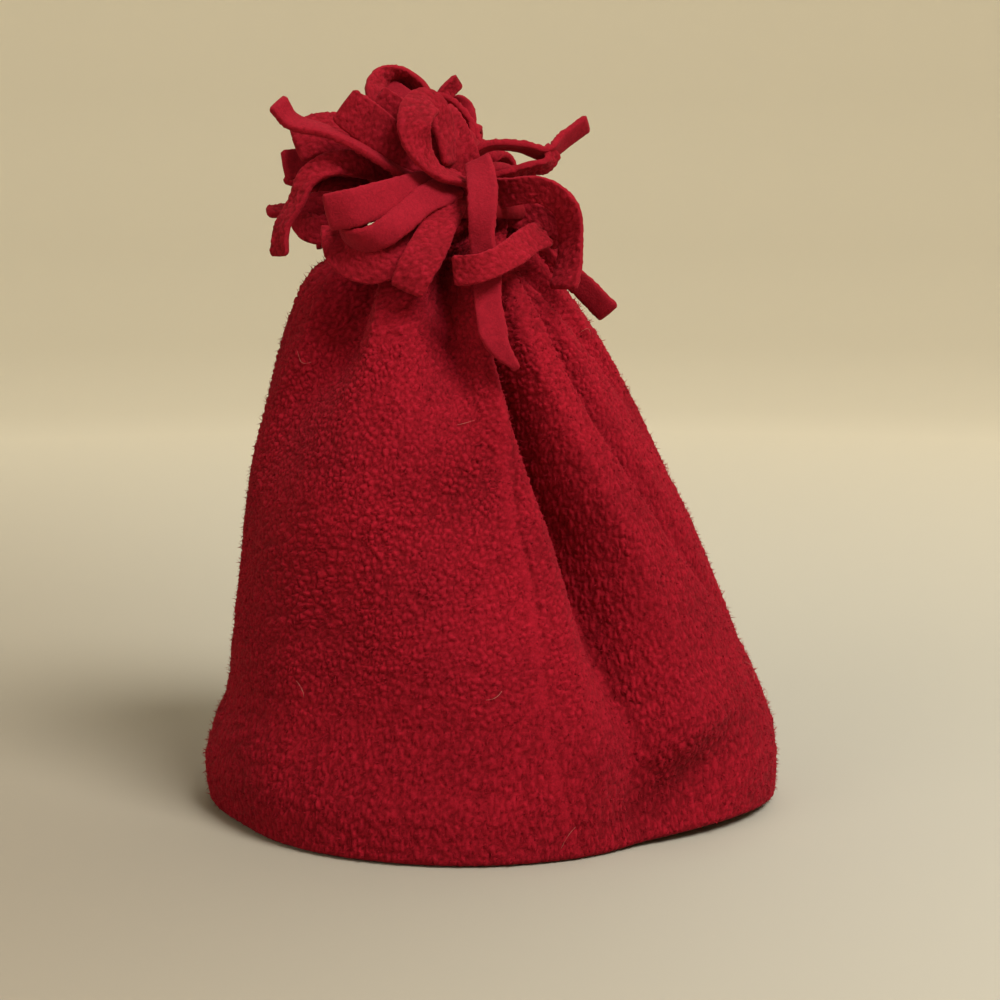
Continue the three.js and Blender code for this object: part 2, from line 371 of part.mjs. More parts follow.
FILL.forEach((tier, ti) => {
  for (let k = 0; k < tier.count; k++) {
    const az = tier.from + ((tier.to - tier.from) * (k + 0.25 + 0.5 * vary(k, ti, 0))) / tier.count;
    const sway = 36 * (vary(k, ti, 1) - 0.5);
    const reach = tier.reach * (0.86 + 0.24 * vary(k, ti, 2)) * (1 - 0.16 * Math.sin(rad(az)));
    const rise = tier.rise * (0.75 + 0.5 * vary(k, ti, 3)), end = tier.end + 12 * (vary(k, ti, 4) - 0.5);
    const at = (share, turn, z) => [NECK_X - share * tier.lean + share * reach * Math.sin(rad(az + turn)), -share * reach * Math.cos(rad(az + turn)), z];
    const path = [at(0.18, 0, 197), at(0.42, sway * 0.3, 197 + rise * 0.85), at(0.78, sway * 0.7, (197 + rise + end) / 2 + 3), at(1, sway, end)];
    const toward = new THREE.Vector3(0, 0, 1).addScaledVector(new THREE.Vector3(Math.sin(rad(az + sway)), -Math.cos(rad(az + sway)), 0), 0.9);
    pieces.push(...ribbon(path, tier.width, [20 * (vary(k, ti, 5) - 0.5), 70 * (vary(k, ti, 6) - 0.5), 70 * (vary(k, ti, 7) - 0.5)], 'blunt', toward));
  }
});
const core = wasm.Manifold.sphere(1, 28).scale([FRINGE_CORE.halfX, FRINGE_CORE.halfY, FRINGE_CORE.halfZ]).translate([FRINGE_CORE.x, FRINGE_CORE.y, FRINGE_CORE.z]);
let mop = wasm.Manifold.union([core, ...pieces]);
// room for the crown's shoulders, the neck and the tie
const clearRows = [[120, 0], [140, 0], [150, 0], [158, 0], [165, 0], [171, 0], [176, 0], [181, 0], [185, 0]];
const room = clearRows.map(([z]) => TIE_COLUMNS.map((az) => { const p = neckOval(az, z, FRINGE_CLEARANCE); return [p[0], p[1], z + FRINGE_CLEARANCE]; }));
const tieOut = TIE_CLEAR + TIE.thick + FRINGE_CLEARANCE;
room.push(TIE_COLUMNS.map((az) => { const p = neckOval(az, 188, tieOut); return [p[0], p[1], TIE.low - 0.5]; }));
room.push(TIE_COLUMNS.map((az) => { const p = neckOval(az, 191, tieOut); return [p[0], p[1], TIE.high + FRINGE_CLEARANCE]; }));
room.push(TIE_COLUMNS.map((az) => { const p = neckOval(az, 195, FRINGE_CLEARANCE); return [p[0], p[1], TIE.high + FRINGE_CLEARANCE + 0.4]; }));
room.push(TIE_COLUMNS.map((az) => { const p = neckOval(az, 198, FRINGE_CLEARANCE); return [p[0], p[1], 198 + FRINGE_CLEARANCE]; }));
mop = mop.subtract(solid(skin(room, [[-15, 0, 120], [NECK_X, 0, 198 + FRINGE_CLEARANCE]])));
// only the one outer skin of the mop, without specks or closed pockets
mop = mop.simplify(0.1);
for (let bits = null; bits === null || bits.length > 1;) {
  bits = solid(toGeometry(mop)).decompose().sort((a, b) => b.volume() - a.volume());
  mop = bits[0];
}

// ---- the assembly ----
const hat = new THREE.Group();
hat.name = 'beanie';
function add(name, geometry, color, roughness) {
  const mesh = new THREE.Mesh(geometry, new THREE.MeshStandardMaterial({ color, roughness, metalness: 0 }));
  mesh.name = name;
  geometry.computeVertexNormals();
  hat.add(mesh);
}
add('crown', crown, 0x86101e, 0.95);
add('turned_hem', hem, 0x8a1220, 0.95);
add('gather_tie', tie, 0x7a0e1b, 0.9);
add('fringe', toGeometry(mop), 0x94152a, 0.92);

export default hat;
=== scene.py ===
"""The looks of a fringed fleece beanie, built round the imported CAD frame.
The crown, its turned-up hem, the tie and every fringe strip are modelled meshes; the pile is real relief."""
import math
import bpy
import numpy as np
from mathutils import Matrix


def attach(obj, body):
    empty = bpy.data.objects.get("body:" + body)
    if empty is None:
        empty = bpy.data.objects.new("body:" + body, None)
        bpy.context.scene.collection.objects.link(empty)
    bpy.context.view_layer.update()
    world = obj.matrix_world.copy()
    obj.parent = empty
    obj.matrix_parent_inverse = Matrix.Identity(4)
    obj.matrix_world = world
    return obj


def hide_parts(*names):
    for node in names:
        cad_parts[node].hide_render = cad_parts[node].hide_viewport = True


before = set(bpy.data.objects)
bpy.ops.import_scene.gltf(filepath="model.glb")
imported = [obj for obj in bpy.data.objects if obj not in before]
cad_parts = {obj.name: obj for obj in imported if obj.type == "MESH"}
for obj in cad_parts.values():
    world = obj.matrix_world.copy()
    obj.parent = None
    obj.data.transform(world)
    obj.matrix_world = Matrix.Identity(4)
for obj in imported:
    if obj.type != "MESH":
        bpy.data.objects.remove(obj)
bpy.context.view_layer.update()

MM = 0.001

# ---- sizes and tables, in millimetres and degrees, as the CAD has them ----
CLOTH = 4.0
HEM_CLOTH = 3.2
HEM_HEIGHT = 37.0
GAP = 0.3
NECK_X = -6.8
HOLLOW_TOP = 172.0
SECTIONS = [  # name, height, signed reach left, right, front, back (mm)
    ("rim", 0, -93.5, 94.8, -80, 78.2),
    ("hem_low", 12, -94.8, 95, -80, 78.4),
    ("hem_mid", 24, -92.2, 93.4, -78, 77.4),
    ("hem_top", 38, -86.8, 88.4, -75.5, 76),
    ("skirt", 56, -84.5, 80.2, -72, 72.5),
    ("low", 80, -81.6, 70.2, -66.5, 68),
    ("middle", 104, -78.8, 59.8, -61, 62),
    ("high", 128, -73.5, 47.5, -53.5, 55.5),
    ("top", 148, -68.5, 36.5, -47, 49),
    ("shoulder", 162, -64, 27.5, -41.5, 43),
    ("brow", 172, -58.5, 20.5, -35.5, 36),
    ("crest", 179, -47, 15.5, -29, 29),
    ("neck_base", 185, -31.5, 12.6, -21.5, 21.5),
    ("neck", 191, -26, 12, -18.5, 18.5),
    ("neck_top", 198, -26, 12.5, -19, 19),
]
FOLD_HEIGHTS = [188, 168, 148, 128, 108, 84, 60, 36]
FOLDS = [  # name, then at each height: azimuth, depth, half width left, half width right; sharpness; lean
    ("left_brow", [-34, -37, -44, -56, -60, -60, -60, -60], [4, 15, 12, 5.5, 1.5, 0, 0, 0],
     [3, 13, 14, 16, 18, 20, 20, 20], [3, 11, 17, 25, 28, 24, 24, 24], 0.0, [0, 0, 0, 0, 0, 0, 0, 0]),
    ("pocket", [11, 9.5, 8, 6, 6, 6, 6, 6], [4, 19, 14, 3, 0, 0, 0, 0],
     [3, 12, 18, 24, 28, 30, 30, 30], [3, 7, 8, 11, 13, 14, 14, 14], 0.15, [0, 0, 0, 0, 0, 0, 0, 0]),
    ("valley", [34, 28, 23.5, 25.5, 29.5, 34, 35.5, 36], [4, 12, 19, 22.5, 24.5, 25, 21, 11.5],
     [3, 4.5, 6, 8, 11, 15, 18, 20], [3, 7, 11, 14.5, 16.5, 19, 20, 18], 0.72, [0, 1, 2.5, 2.5, 1.5, 0.5, 0, 0]),
    ("narrow", [50, 50, 49, 52, 58.5, 68, 84, 98], [4, 6.5, 6.5, 5.5, 4.5, 3.2, 1.6, 0],
     [3, 4, 4, 4.5, 5, 7, 9, 9], [3, 5.5, 7, 8, 9, 10, 9, 9], 0.6, [0, 0.5, 1.2, 1.2, 1, 0.5, 0, 0]),
    ("right_side", [56, 62, 72, 80, 88, 98, 105, 105], [4, 7, 5, 3, 1.5, 0, 0, 0],
     [3, 7, 9, 11, 12, 12, 12, 12], [3, 7, 9, 11, 12, 12, 12, 12], 0.0, [0, 0, 0, 0, 0, 0, 0, 0]),
    ("r_back_1", [84, 92, 104, 112, 116, 118, 120, 120], [4, 9, 11, 10, 8, 5, 2, 0],
     [3, 7, 9, 12, 14, 15, 16, 16], [3, 8, 11, 14, 17, 18, 19, 19], 0.3, [0, 0, 0, 0, 0, 0, 0, 0]),
    ("r_back_2", [110, 122, 132, 138, 140, 142, 143, 143], [4, 8, 6, 3, 1, 0, 0, 0],
     [3, 7, 8, 9, 9, 9, 9, 9], [3, 7, 8, 9, 9, 9, 9, 9], 0.0, [0, 0, 0, 0, 0, 0, 0, 0]),
    ("back_1", [138, 146, 152, 156, 158, 160, 162, 163], [4, 9.5, 12, 11.5, 9.5, 6.5, 3, 0.5],
     [3, 7, 11, 14, 18, 20, 22, 22], [3, 6, 8, 10, 12, 14, 15, 15], 0.4, [0, 0, 0, 0, 0, 0, 0, 0]),
    ("back_2", [165, 170, 176, 180, 182, 183, 183, 183], [4, 8, 5.5, 2.5, 0.5, 0, 0, 0],
     [3, 7, 8, 9, 9, 9, 9, 9], [3, 7, 8, 9, 9, 9, 9, 9], 0.0, [0, 0, 0, 0, 0, 0, 0, 0]),
    ("back_3", [-166, -164, -160, -157, -155, -153, -152, -152], [4, 9, 11, 10.5, 8.5, 5.5, 2.5, 0],
     [3, 6, 8, 10, 12, 14, 15, 15], [3, 8, 11, 14, 17, 19, 20, 20], 0.4, [0, 0, 0, 0, 0, 0, 0, 0]),
    ("l_back_1", [-138, -137, -134, -131, -129, -128, -127, -127], [4, 8, 7, 4, 1.5, 0, 0, 0],
     [3, 7, 9, 10, 10, 10, 10, 10], [3, 7, 9, 10, 10, 10, 10, 10], 0.0, [0, 0, 0, 0, 0, 0, 0, 0]),
    ("l_back_2", [-112, -112, -110, -108, -107, -106, -105, -105], [4, 9, 9.5, 8, 6, 3.5, 1.5, 0],
     [3, 8, 11, 14, 16, 17, 18, 18], [3, 7, 9, 11, 12, 13, 14, 14], 0.2, [0, 0, 0, 0, 0, 0, 0, 0]),
    ("left_side", [-84, -82, -80, -78, -78, -78, -78, -78], [4, 5, 2, 0.5, 0, 0, 0, 0],
     [3, 8, 10, 11, 11, 11, 11, 11], [3, 8, 10, 11, 11, 11, 11, 11], 0.0, [0, 0, 0, 0, 0, 0, 0, 0]),
    ("l_front", [-52, -56, -62, -64, -66, -66, -66, -66], [4, 1.5, 0, 0, 0, 0, 0, 0],
     [3, 8, 11, 12, 12, 12, 12, 12], [3, 8, 11, 12, 12, 12, 12, 12], 0.0, [0, 0, 0, 0, 0, 0, 0, 0]),
]
DENTS = [  # name, azimuth, height, half across, half up, rise, tilt
    ("panel_dent", 0, 107, 10, 25, -5, -55),
    ("dent_tail", -33, 66, 16, 30, -1.5, 0),
    ("seam_swell", -4, 62, 26, 24, 2.8, 20),
    ("left_panel", -38, 108, 24, 34, 2.2, 0),
    ("hem_roll_r", 50, 37, 32, 11, 3.4, 14),
    ("hem_under_r", 49, 18, 28, 12, -5, 28),
    ("rim_flat_r", 42, 0, 54, 30, -8, 0),
    ("rim_flat_l", -66, 0, 26, 26, -3.2, 0),
]
STRIPS = [  # name, width, side that faces out, roll along it (degrees), tip, points it passes through (mm)
    ("front_pile", 10.5, "pile", [0, 0, 0, 0, 0], "blunt",
     [(-11.5, -20, 196), (-14, -30, 189.5), (-18, -41, 180), (-22, -46, 172.5), (-25, -46, 166)]),
    ("smooth_low", 8.5, "smooth", [25, 10, 0, 0, -25, -55, -65], "blunt",
     [(-11.5, -20, 197.5), (-19.5, -33, 193.5), (-25.5, -41, 188), (-31, -45, 183.5), (-37, -45, 181), (-42, -41, 182), (-45, -33, 185)]),
    ("smooth_broad", 11, "smooth", [40, 20, 0, -5, -15], "blunt",
     [(-12, -18, 199), (-22.5, -32, 196), (-32.5, -42, 193), (-40.5, -47, 190.5), (-48.5, -46, 189)]),
    ("low_loop", 9.5, "pile", [-20, 0, 0, 0, 0, 0], "blunt",
     [(-47, -30, 185.5), (-45, -38, 177.5), (-38.5, -42, 173.5), (-31, -42, 174.5), (-24.5, -37, 179), (-18, -26, 185.5)]),
    ("eye_loop", 10, "pile", [75, 70, 55, 15, 0, -20, -60, -75], "blunt",
     [(-7.5, -18, 199.5), (-16, -28, 202.5), (-21, -33, 208.5), (-23, -34, 215), (-22, -30, 220), (-19, -22, 223), (-15, -19, 217.5), (-12.5, -18, 204.5)]),
    ("corner_strip", 11.5, "pile", [25, 10, 0, 0], "blunt",
     [(-17, -14, 203), (-27, -23, 208.5), (-36, -28, 215.5), (-44.5, -30, 222)]),
    ("corner_under", 10, "pile", [10, 0, 0], "blunt",
     [(-13, -10, 206), (-22.5, -18, 214), (-30, -20, 220.5), (-35.5, -18, 224.5)]),
    ("top_arch", 9.5, "pile", [60, 40, 35, 60, 70, 60, 50], "blunt",
     [(-20.5, -8, 206.5), (-30, -14, 219), (-34.5, -14, 226), (-33.5, -4, 231.5), (-28, 3, 232.5), (-23, 3, 229.5), (-18, -2, 217.5)]),
    ("top_lining", 9, "smooth", [20, 30, 50], "blunt",
     [(-20, -3, 215), (-27.5, -4, 225), (-34.5, -2, 230)]),
    ("top_tip", 5.5, "pile", [20, 30, 40, 40], "blunt",
     [(-10, -2, 207), (-14.5, 3, 218.5), (-15.5, 6, 226.5), (-10.5, 9, 233)]),
    ("right_back_arc", 7.5, "smooth", [70, 70, 65, 60, 50], "blunt",
     [(-21, 6, 227), (-14.5, 8, 226), (-9, 9, 221), (-5.5, 8, 215), (-5, 2, 203)]),
    ("top_right_pile", 9.5, "pile", [20, 10, 10, 30], "blunt",
     [(-6.5, -12, 199.5), (-8.5, -13, 207), (-12, -9, 215.5), (-17, -2, 223.5)]),
    ("long_left", 7, "smooth", [40, 72, 78, 75, 60, 40], "blunt",
     [(-18, -16, 199), (-27.5, -25, 202), (-39.5, -30, 209), (-50, -31, 214), (-60, -31, 217), (-64, -33, 222.5)]),
    ("left_upper", 8, "pile", [50, 45, 40, 35], "blunt",
     [(-26, -6, 207.5), (-41, -12, 216), (-52, -14, 217.5), (-62, -14, 214)]),
    ("left_upper_low", 8.5, "pile", [30, 25, 20, 10], "blunt",
     [(-27.5, -8, 205), (-41.5, -16, 211), (-52.5, -18, 212), (-60, -18, 209)]),
    ("left_drop", 7.5, "pile", [10, 0, 5, 25, 50, 55, 45], "blunt",
     [(-24.5, -10, 200.5), (-37, -22, 204), (-47.5, -28, 204.5), (-55.5, -30, 200), (-59, -31, 192.5), (-63, -32, 185.5), (-64, -33, 176.5)]),
    ("left_end", 6, "pile", [30, 50, 65], "blunt",
     [(-47, -6, 194), (-60, -9, 191.5), (-70.5, -11, 190.5)]),
    ("left_corner", 9.5, "smooth", [10, 10, 5], "blunt",
     [(-34.5, -3, 205.5), (-51.5, -8, 206.5), (-65, -12, 204.5)]),
    ("under_loop", 8.5, "pile", [0, 0, 10, 20, 10, 0, 0], "blunt",
     [(-39, -10, 188.5), (-51.5, -12, 192.5), (-57.5, -14, 190.5), (-57.5, -17, 186.5), (-54, -18, 184.5), (-48.5, -16, 186), (-40, -8, 189)]),
    ("right_long", 6.5, "smooth", [70, 80, 76, 62, 50, 45], "blunt",
     [(-7.5, -8, 206.5), (-1, -8, 211), (9.5, -6, 211), (17.5, -4, 209), (23.5, 0, 213.5), (31, 3, 219)]),
    ("right_short", 6.5, "pile", [60, 70, 72, 60, 40], "blunt",
     [(-3.5, -6, 199.5), (3.5, -9, 201.5), (11.5, -8, 204), (17.5, -6, 205), (20, -3, 210.5)]),
    ("right_loop", 8.8, "pile", [10, 10, 15, 30, 40, 40, 35], "blunt",
     [(-5, -10, 195.5), (4.5, -21, 196), (15.5, -25, 196.5), (23, -25, 191), (24.5, -23, 182.5), (24, -24, 174), (22, -27, 166.5)]),
    ("right_inner", 9, "pile", [0, 0, 10, 20], "blunt",
     [(-4.5, -8, 193), (7.5, -12, 190), (18, -12, 186), (22, -8, 179.5)]),
    ("right_low", 8.5, "pile", [20, 5, 0, 0, 0], "blunt",
     [(16.5, -20, 183.5), (12, -30, 181.5), (5, -43, 176.5), (-3, -49, 173), (-11, -47, 172)]),
    ("hanging", 8.3, "smooth", [20, 0, 0, 30, 10, 0, 0, 10], "point",
     [(-4, -24, 206), (-2.5, -33, 197.5), (-2.5, -38, 188.5), (-2.5, -39, 181.5), (-1, -41, 173.5), (-0.5, -45, 161.5), (2, -49, 151), (8, -53, 143.5)]),
    ("rear_low", 8, "smooth", [0, 15, 20], "blunt",
     [(15, 0, 179), (28.5, 5, 168), (38.5, 8, 158)]),
    ("right_dark", 8.5, "pile", [20, 30, 40], "blunt",
     [(9.5, -4, 180.5), (17.5, -7, 175.5), (21, -8, 168.5)]),
]
RIM_LIFT = (62.0, 36.0, 2.5, 30.0)  # azimuth, half width, rise, height at which it has faded
FILL = [  # tier, count, azimuth from, to, reach, rise, end height, width, lean to the left
    ("upper", 7, 148, 245, 29, 29, 214, 9.0, 12),
    ("middle", 8, 142, 282, 40, 20, 194, 9.5, 9),
    ("lower", 9, 104, 280, 43, 8, 173, 9.0, 2),
]
SEAM = [(142, 19.0), (125, 16.2), (108, 14.4), (96.5, 13.4), (81, 14.4), (60, 13.2), (39, 11.8), (25.5, 13.8), (13, 17.0), (0, 20.0)]  # height, azimuth


# ---- small maths ----
def through(xs, ys, x):
    """A smooth curve through a table that never overshoots it."""
    xs, ys, x = (np.asarray(v, float) for v in (xs, ys, x))
    if xs[0] > xs[-1]:
        xs, ys = xs[::-1], ys[::-1]
    h = np.diff(xs)
    d = np.diff(ys) / h
    m = np.zeros(len(xs))
    for i in range(1, len(xs) - 1):
        if d[i - 1] * d[i] > 0:
            w1, w2 = 2 * h[i] + h[i - 1], h[i] + 2 * h[i - 1]
            m[i] = (w1 + w2) / (w1 / d[i - 1] + w2 / d[i])
    m[0], m[-1] = d[0], d[-1]
    x = np.clip(x, xs[0], xs[-1])
    k = np.clip(np.searchsorted(xs, x, side="right") - 1, 0, len(xs) - 2)
    t = (x - xs[k]) / h[k]
    return ((2 * t**3 - 3 * t**2 + 1) * ys[k] + (t**3 - 2 * t**2 + t) * h[k] * m[k]
            + (3 * t**2 - 2 * t**3) * ys[k + 1] + (t**3 - t**2) * h[k] * m[k + 1])


def wrap(a):
    return (a + 180.0) % 360.0 - 180.0


def bell(x):
    return np.where(np.abs(x) < 1, (1 - x * x) ** 2, 0.0)


def cusp(q):
    q = np.sqrt(q * q + 0.01) - 0.1
    return np.where(q < 1, (1 - q) ** 2 * (1 + 0.35 * q), 0.0)


def smooth(a, b, x):
    t = np.clip((x - a) / (b - a), 0, 1)
    return t * t * (3 - 2 * t)


def hashed(ix, iy, iz, seed):
    """Repeatable random numbers, one for each whole-number place."""
    h = (ix.astype(np.uint32) * np.uint32(73856093)) ^ (iy.astype(np.uint32) * np.uint32(19349663)) ^ (iz.astype(np.uint32) * np.uint32(83492791))
    h ^= np.uint32((seed * 2654435761) & 0xFFFFFFFF)
    h ^= h >> np.uint32(16)
    h *= np.uint32(0x7FEB352D)
    h ^= h >> np.uint32(15)
    h *= np.uint32(0x846CA68B)
    h ^= h >> np.uint32(16)
    return h.astype(np.float32) / np.float32(4294967295.0)


def cells(p, seed):
    """Distances to the nearest and second nearest scattered point, and the nearest one's own random number."""
    base = np.floor(p).astype(np.int64)
    frac = (p - base).astype(np.float32)
    f1 = np.full(len(p), 9.0, np.float32)
    f2 = np.full(len(p), 9.0, np.float32)
    own = np.zeros(len(p), np.float32)
    for dx in (-1, 0, 1):
        for dy in (-1, 0, 1):
            for dz in (-1, 0, 1):
                ix, iy, iz = base[:, 0] + dx, base[:, 1] + dy, base[:, 2] + dz
                a = hashed(ix, iy, iz, seed)
                b = hashed(ix, iy, iz, seed + 11)
                c = hashed(ix, iy, iz, seed + 23)
                d = np.sqrt((dx + a - frac[:, 0]) ** 2 + (dy + b - frac[:, 1]) ** 2 + (dz + c - frac[:, 2]) ** 2)
                near = d < f1
                f2 = np.where(near, f1, np.minimum(f2, d))
                own = np.where(near, hashed(ix, iy, iz, seed + 37), own)
                f1 = np.where(near, d, f1)
    return f1, f2, own


def noise(p, seed):
    """Smooth noise from -1 to 1."""
    base = np.floor(p).astype(np.int64)
    f = p - base
    w = f * f * (3 - 2 * f)
    out = np.zeros(len(p))
    for dx in (0, 1):
        for dy in (0, 1):
            for dz in (0, 1):
                v = hashed(base[:, 0] + dx, base[:, 1] + dy, base[:, 2] + dz, seed)
                out += v * (w[:, 0] if dx else 1 - w[:, 0]) * (w[:, 1] if dy else 1 - w[:, 1]) * (w[:, 2] if dz else 1 - w[:, 2])
    return out * 2 - 1


# ---- the crown's form ----
_z = np.array([s[1] for s in SECTIONS], float)
_half = np.array([(s[3] - s[2]) / 2 for s in SECTIONS], float)
_run = np.concatenate([[0], np.cumsum(np.hypot(np.diff(_z), np.diff(_half)))])
RUN_LENGTH = _run[-1]
_run = _run / _run[-1]


def section(v):
    """At a share v of the run up the cloth: height, centre, half width, half depth."""
    z, left, right, front, back = (through(_run, [s[i] for s in SECTIONS], v) for i in range(1, 6))
    return z, (left + right) / 2, (right - left) / 2, (front + back) / 2, (back - front) / 2


def run_at(z):
    """The share of the run at a height."""
    v = np.linspace(0, 1, 6001)
    return np.interp(z, section(v)[0], v)


def lift(az, z):
    return RIM_LIFT[2] * bell(wrap(az - RIM_LIFT[0]) / RIM_LIFT[1]) * np.clip(1 - z / RIM_LIFT[3], 0, 1) ** 2


def outer(az, v, inset=0.0):
    """The crown's outer face on a grid of azimuths (columns) and shares of the run (rows)."""
    az = np.asarray(az, float)[None, :]
    v = np.asarray(v, float)[:, None]
    z, cx, hw, cy, hd = section(v)
    a = np.radians(az)
    sx, sy = np.sin(a), -np.cos(a)
    r = 1.0 / np.sqrt((sx / hw) ** 2 + (sy / hd) ** 2)
    drop = np.zeros_like(r) + inset
    slide = np.zeros_like(r)
    for name, azs, deep, hl, hr, sharp, lean in FOLDS:
        c, d = through(FOLD_HEIGHTS, azs, z), through(FOLD_HEIGHTS, deep, z)
        d = np.where(z < 36, d * np.clip(z / 36, 0, 1), d)
        off = np.radians(wrap(az - c)) * r
        left, right = through(FOLD_HEIGHTS, hl, z), through(FOLD_HEIGHTS, hr, z)
        q = np.abs(off / np.where(off > 0, right, left))
        drop += d * ((1 - sharp) * bell(q) + sharp * cusp(q))
        slide += through(FOLD_HEIGHTS, lean, z) * bell((off / left + 0.75) / 0.75) * (off <= 0)
    for name, c, zc, ha, hz, up, tilt in DENTS:
        off, dz, t = np.radians(wrap(az - c)) * r, z - zc, math.radians(tilt)
        u, w = (off * math.cos(t) + dz * math.sin(t)) / ha, (-off * math.sin(t) + dz * math.cos(t)) / hz
        drop -= up * np.exp(-1.2 * (u * u + w * w))
    z = z + np.zeros_like(r)
    return np.stack([cx + (r - drop) * sx - slide * sy, cy + (r - drop) * sy + slide * sx, z + lift(az, z)], -1)


def inner(az, z_rows, depths):
    """The same sections worked inwards, one depth for each row."""
    az = np.asarray(az, float)
    ring_az = np.arange(0, 360, 0.75)
    e = np.stack([np.sin(np.radians(az)), -np.cos(np.radians(az))], -1)
    rows = []
    for z, depth in zip(z_rows, depths):
        v = run_at(z)
        _, cx, _, cy, _ = (float(x) for x in section(np.array(v)))
        p = outer(ring_az, [v])[0, :, :2] - [cx, cy]
        along = e @ p.T
        across = e[:, 1:2] * p[None, :, 0] - e[:, 0:1] * p[None, :, 1]
        ok = (along > 0) & (np.abs(across) < depth)
        reach = np.where(ok, along - np.sqrt(np.maximum(depth**2 - across**2, 0)), 1e9).min(1)
        reach = np.maximum(reach, 1.0)
        rows.append(np.stack([cx + reach * e[:, 0], cy + reach * e[:, 1], z + lift(az, z)], -1))
    return np.array(rows)


# ---- the pile's relief ----
def pile(p, rip, seed=3):
    """Height of the curled pile at each point p (mm): 0 in the gaps to about 1 on a nub.
    rip says how far the nap is combed: + upright ripples, - level ones."""
    q = p + 0.5 * np.stack([noise(p / 1.9, seed + 1), noise(p / 1.9, seed + 2), noise(p / 1.9, seed + 3)], -1)
    up, lv = np.clip(rip, 0, 1), np.clip(-rip, 0, 1)
    h = np.zeros(len(p))
    for share, size, floor_height, k in ((1 - np.maximum(up, lv), np.array([1.8, 1.8, 1.8]), 0.74, 5),
                                         (up, np.array([1.45, 1.45, 4.4]), 0.68, 6),
                                         (lv, np.array([3.3, 3.3, 1.5]), 0.70, 7)):
        on = share > 0.001
        if on.any():
            f1, f2, own = cells(q[on] / size, seed + k)
            dome = np.clip((f2 - f1) / 0.5, 0, 1) ** 0.6
            h[on] += share[on] * dome * (floor_height + (1 - floor_height) * own)
    return h + 0.14 * noise(p / 0.8, seed + 8)


# ---- mesh helpers ----
def mesh_object(name, verts, faces, height=None, smooth_shade=True):
    mesh = bpy.data.meshes.new(name)
    verts = np.asarray(verts, float) * MM
    faces = [np.asarray(f, np.int64) for f in faces if len(f)]
    loops = np.concatenate([f.ravel() for f in faces])
    sizes = np.concatenate([np.full(len(f), f.shape[1]) for f in faces])
    starts = np.concatenate([[0], np.cumsum(sizes)[:-1]])
    mesh.vertices.add(len(verts))
    mesh.vertices.foreach_set("co", verts.astype(np.float32).ravel())
    mesh.loops.add(len(loops))
    mesh.loops.foreach_set("vertex_index", loops.astype(np.int32))
    mesh.polygons.add(len(sizes))
    mesh.polygons.foreach_set("loop_start", starts.astype(np.int32))
    mesh.polygons.foreach_set("use_smooth", np.full(len(sizes), smooth_shade))
    mesh.update(calc_edges=True)
    mesh.validate()
    if height is not None:
        a = mesh.attributes.new("nap", "FLOAT", "POINT")
        a.data.foreach_set("value", np.asarray(height, np.float32))
    o = bpy.data.objects.new(name, mesh)
    bpy.context.scene.collection.objects.link(o)
    return o


def grid_normals(g, closed):
    """Outward normals of a grid of points, rows first, from its neighbours."""
    if closed:
        du = np.roll(g, -1, 1) - np.roll(g, 1, 1)
    else:
        du = np.gradient(g, axis=1)
    dv = np.gradient(g, axis=0)
    n = np.cross(du, dv)
    return n / np.maximum(np.linalg.norm(n, axis=-1, keepdims=True), 1e-9)


def quads(rows, cols, base=0, closed=False, flip=False):
    i = np.arange(rows - 1)[:, None] * cols
    j = np.arange(cols if closed else cols - 1)[None, :]
    k = (j + 1) % cols
    a, b, c, d = i + j, i + k, i + cols + k, i + cols + j
    f = np.stack([a, b, c, d] if not flip else [a, d, c, b], -1).reshape(-1, 4)
    return f + base


def zipper(a, b, flip=False, a_at=None, b_at=None):
    """Triangles between two lines of points given by their numbers, kept in step by count, or by where each point stands."""
    out = []
    i = j = 0
    n, m = len(a) - 1, len(b) - 1
    while i < n or j < m:
        if a_at is not None:
            first = j >= m or (i < n and a_at[i + 1] <= b_at[j + 1])
        else:
            first = j >= m or (i < n and (i + 1) * m <= (j + 1) * n)
        if first:
            out.append((a[i], a[i + 1], b[j]))
            i += 1
        else:
            out.append((a[i], b[j + 1], b[j]))
            j += 1
    out = np.array(out)
    return out[:, ::-1] if flip else out


# ---- crown: closed wedges of cloth, side by side ----
def seam_azimuth(z):
    hs = np.array([s[0] for s in SEAM][::-1], float)
    return np.interp(z, hs, [s[1] for s in SEAM][::-1])


def nap_direction(p, az, z):
    """+1 where the nap lies in upright ripples, -1 where it lies in level ones, about 0 where it is curly."""
    wander = noise(p / np.array([26.0, 26.0, 22.0]), 91)
    low = smooth(66, 26, z + 9 * wander)
    right = smooth(18, 40, az) * smooth(150, 110, z) * 0.75 * (az < 120)
    back = smooth(110, 140, np.abs(az)) * 0.35
    level = bell((az + 50 + 8 * wander) / 26) * bell((z - 82 - 8 * wander) / 44) * 1.0
    return np.clip(0.85 * low + right * (1 - low) + back + 0.12 * wander - 1.1 * level * (1 - low), -1, 1)


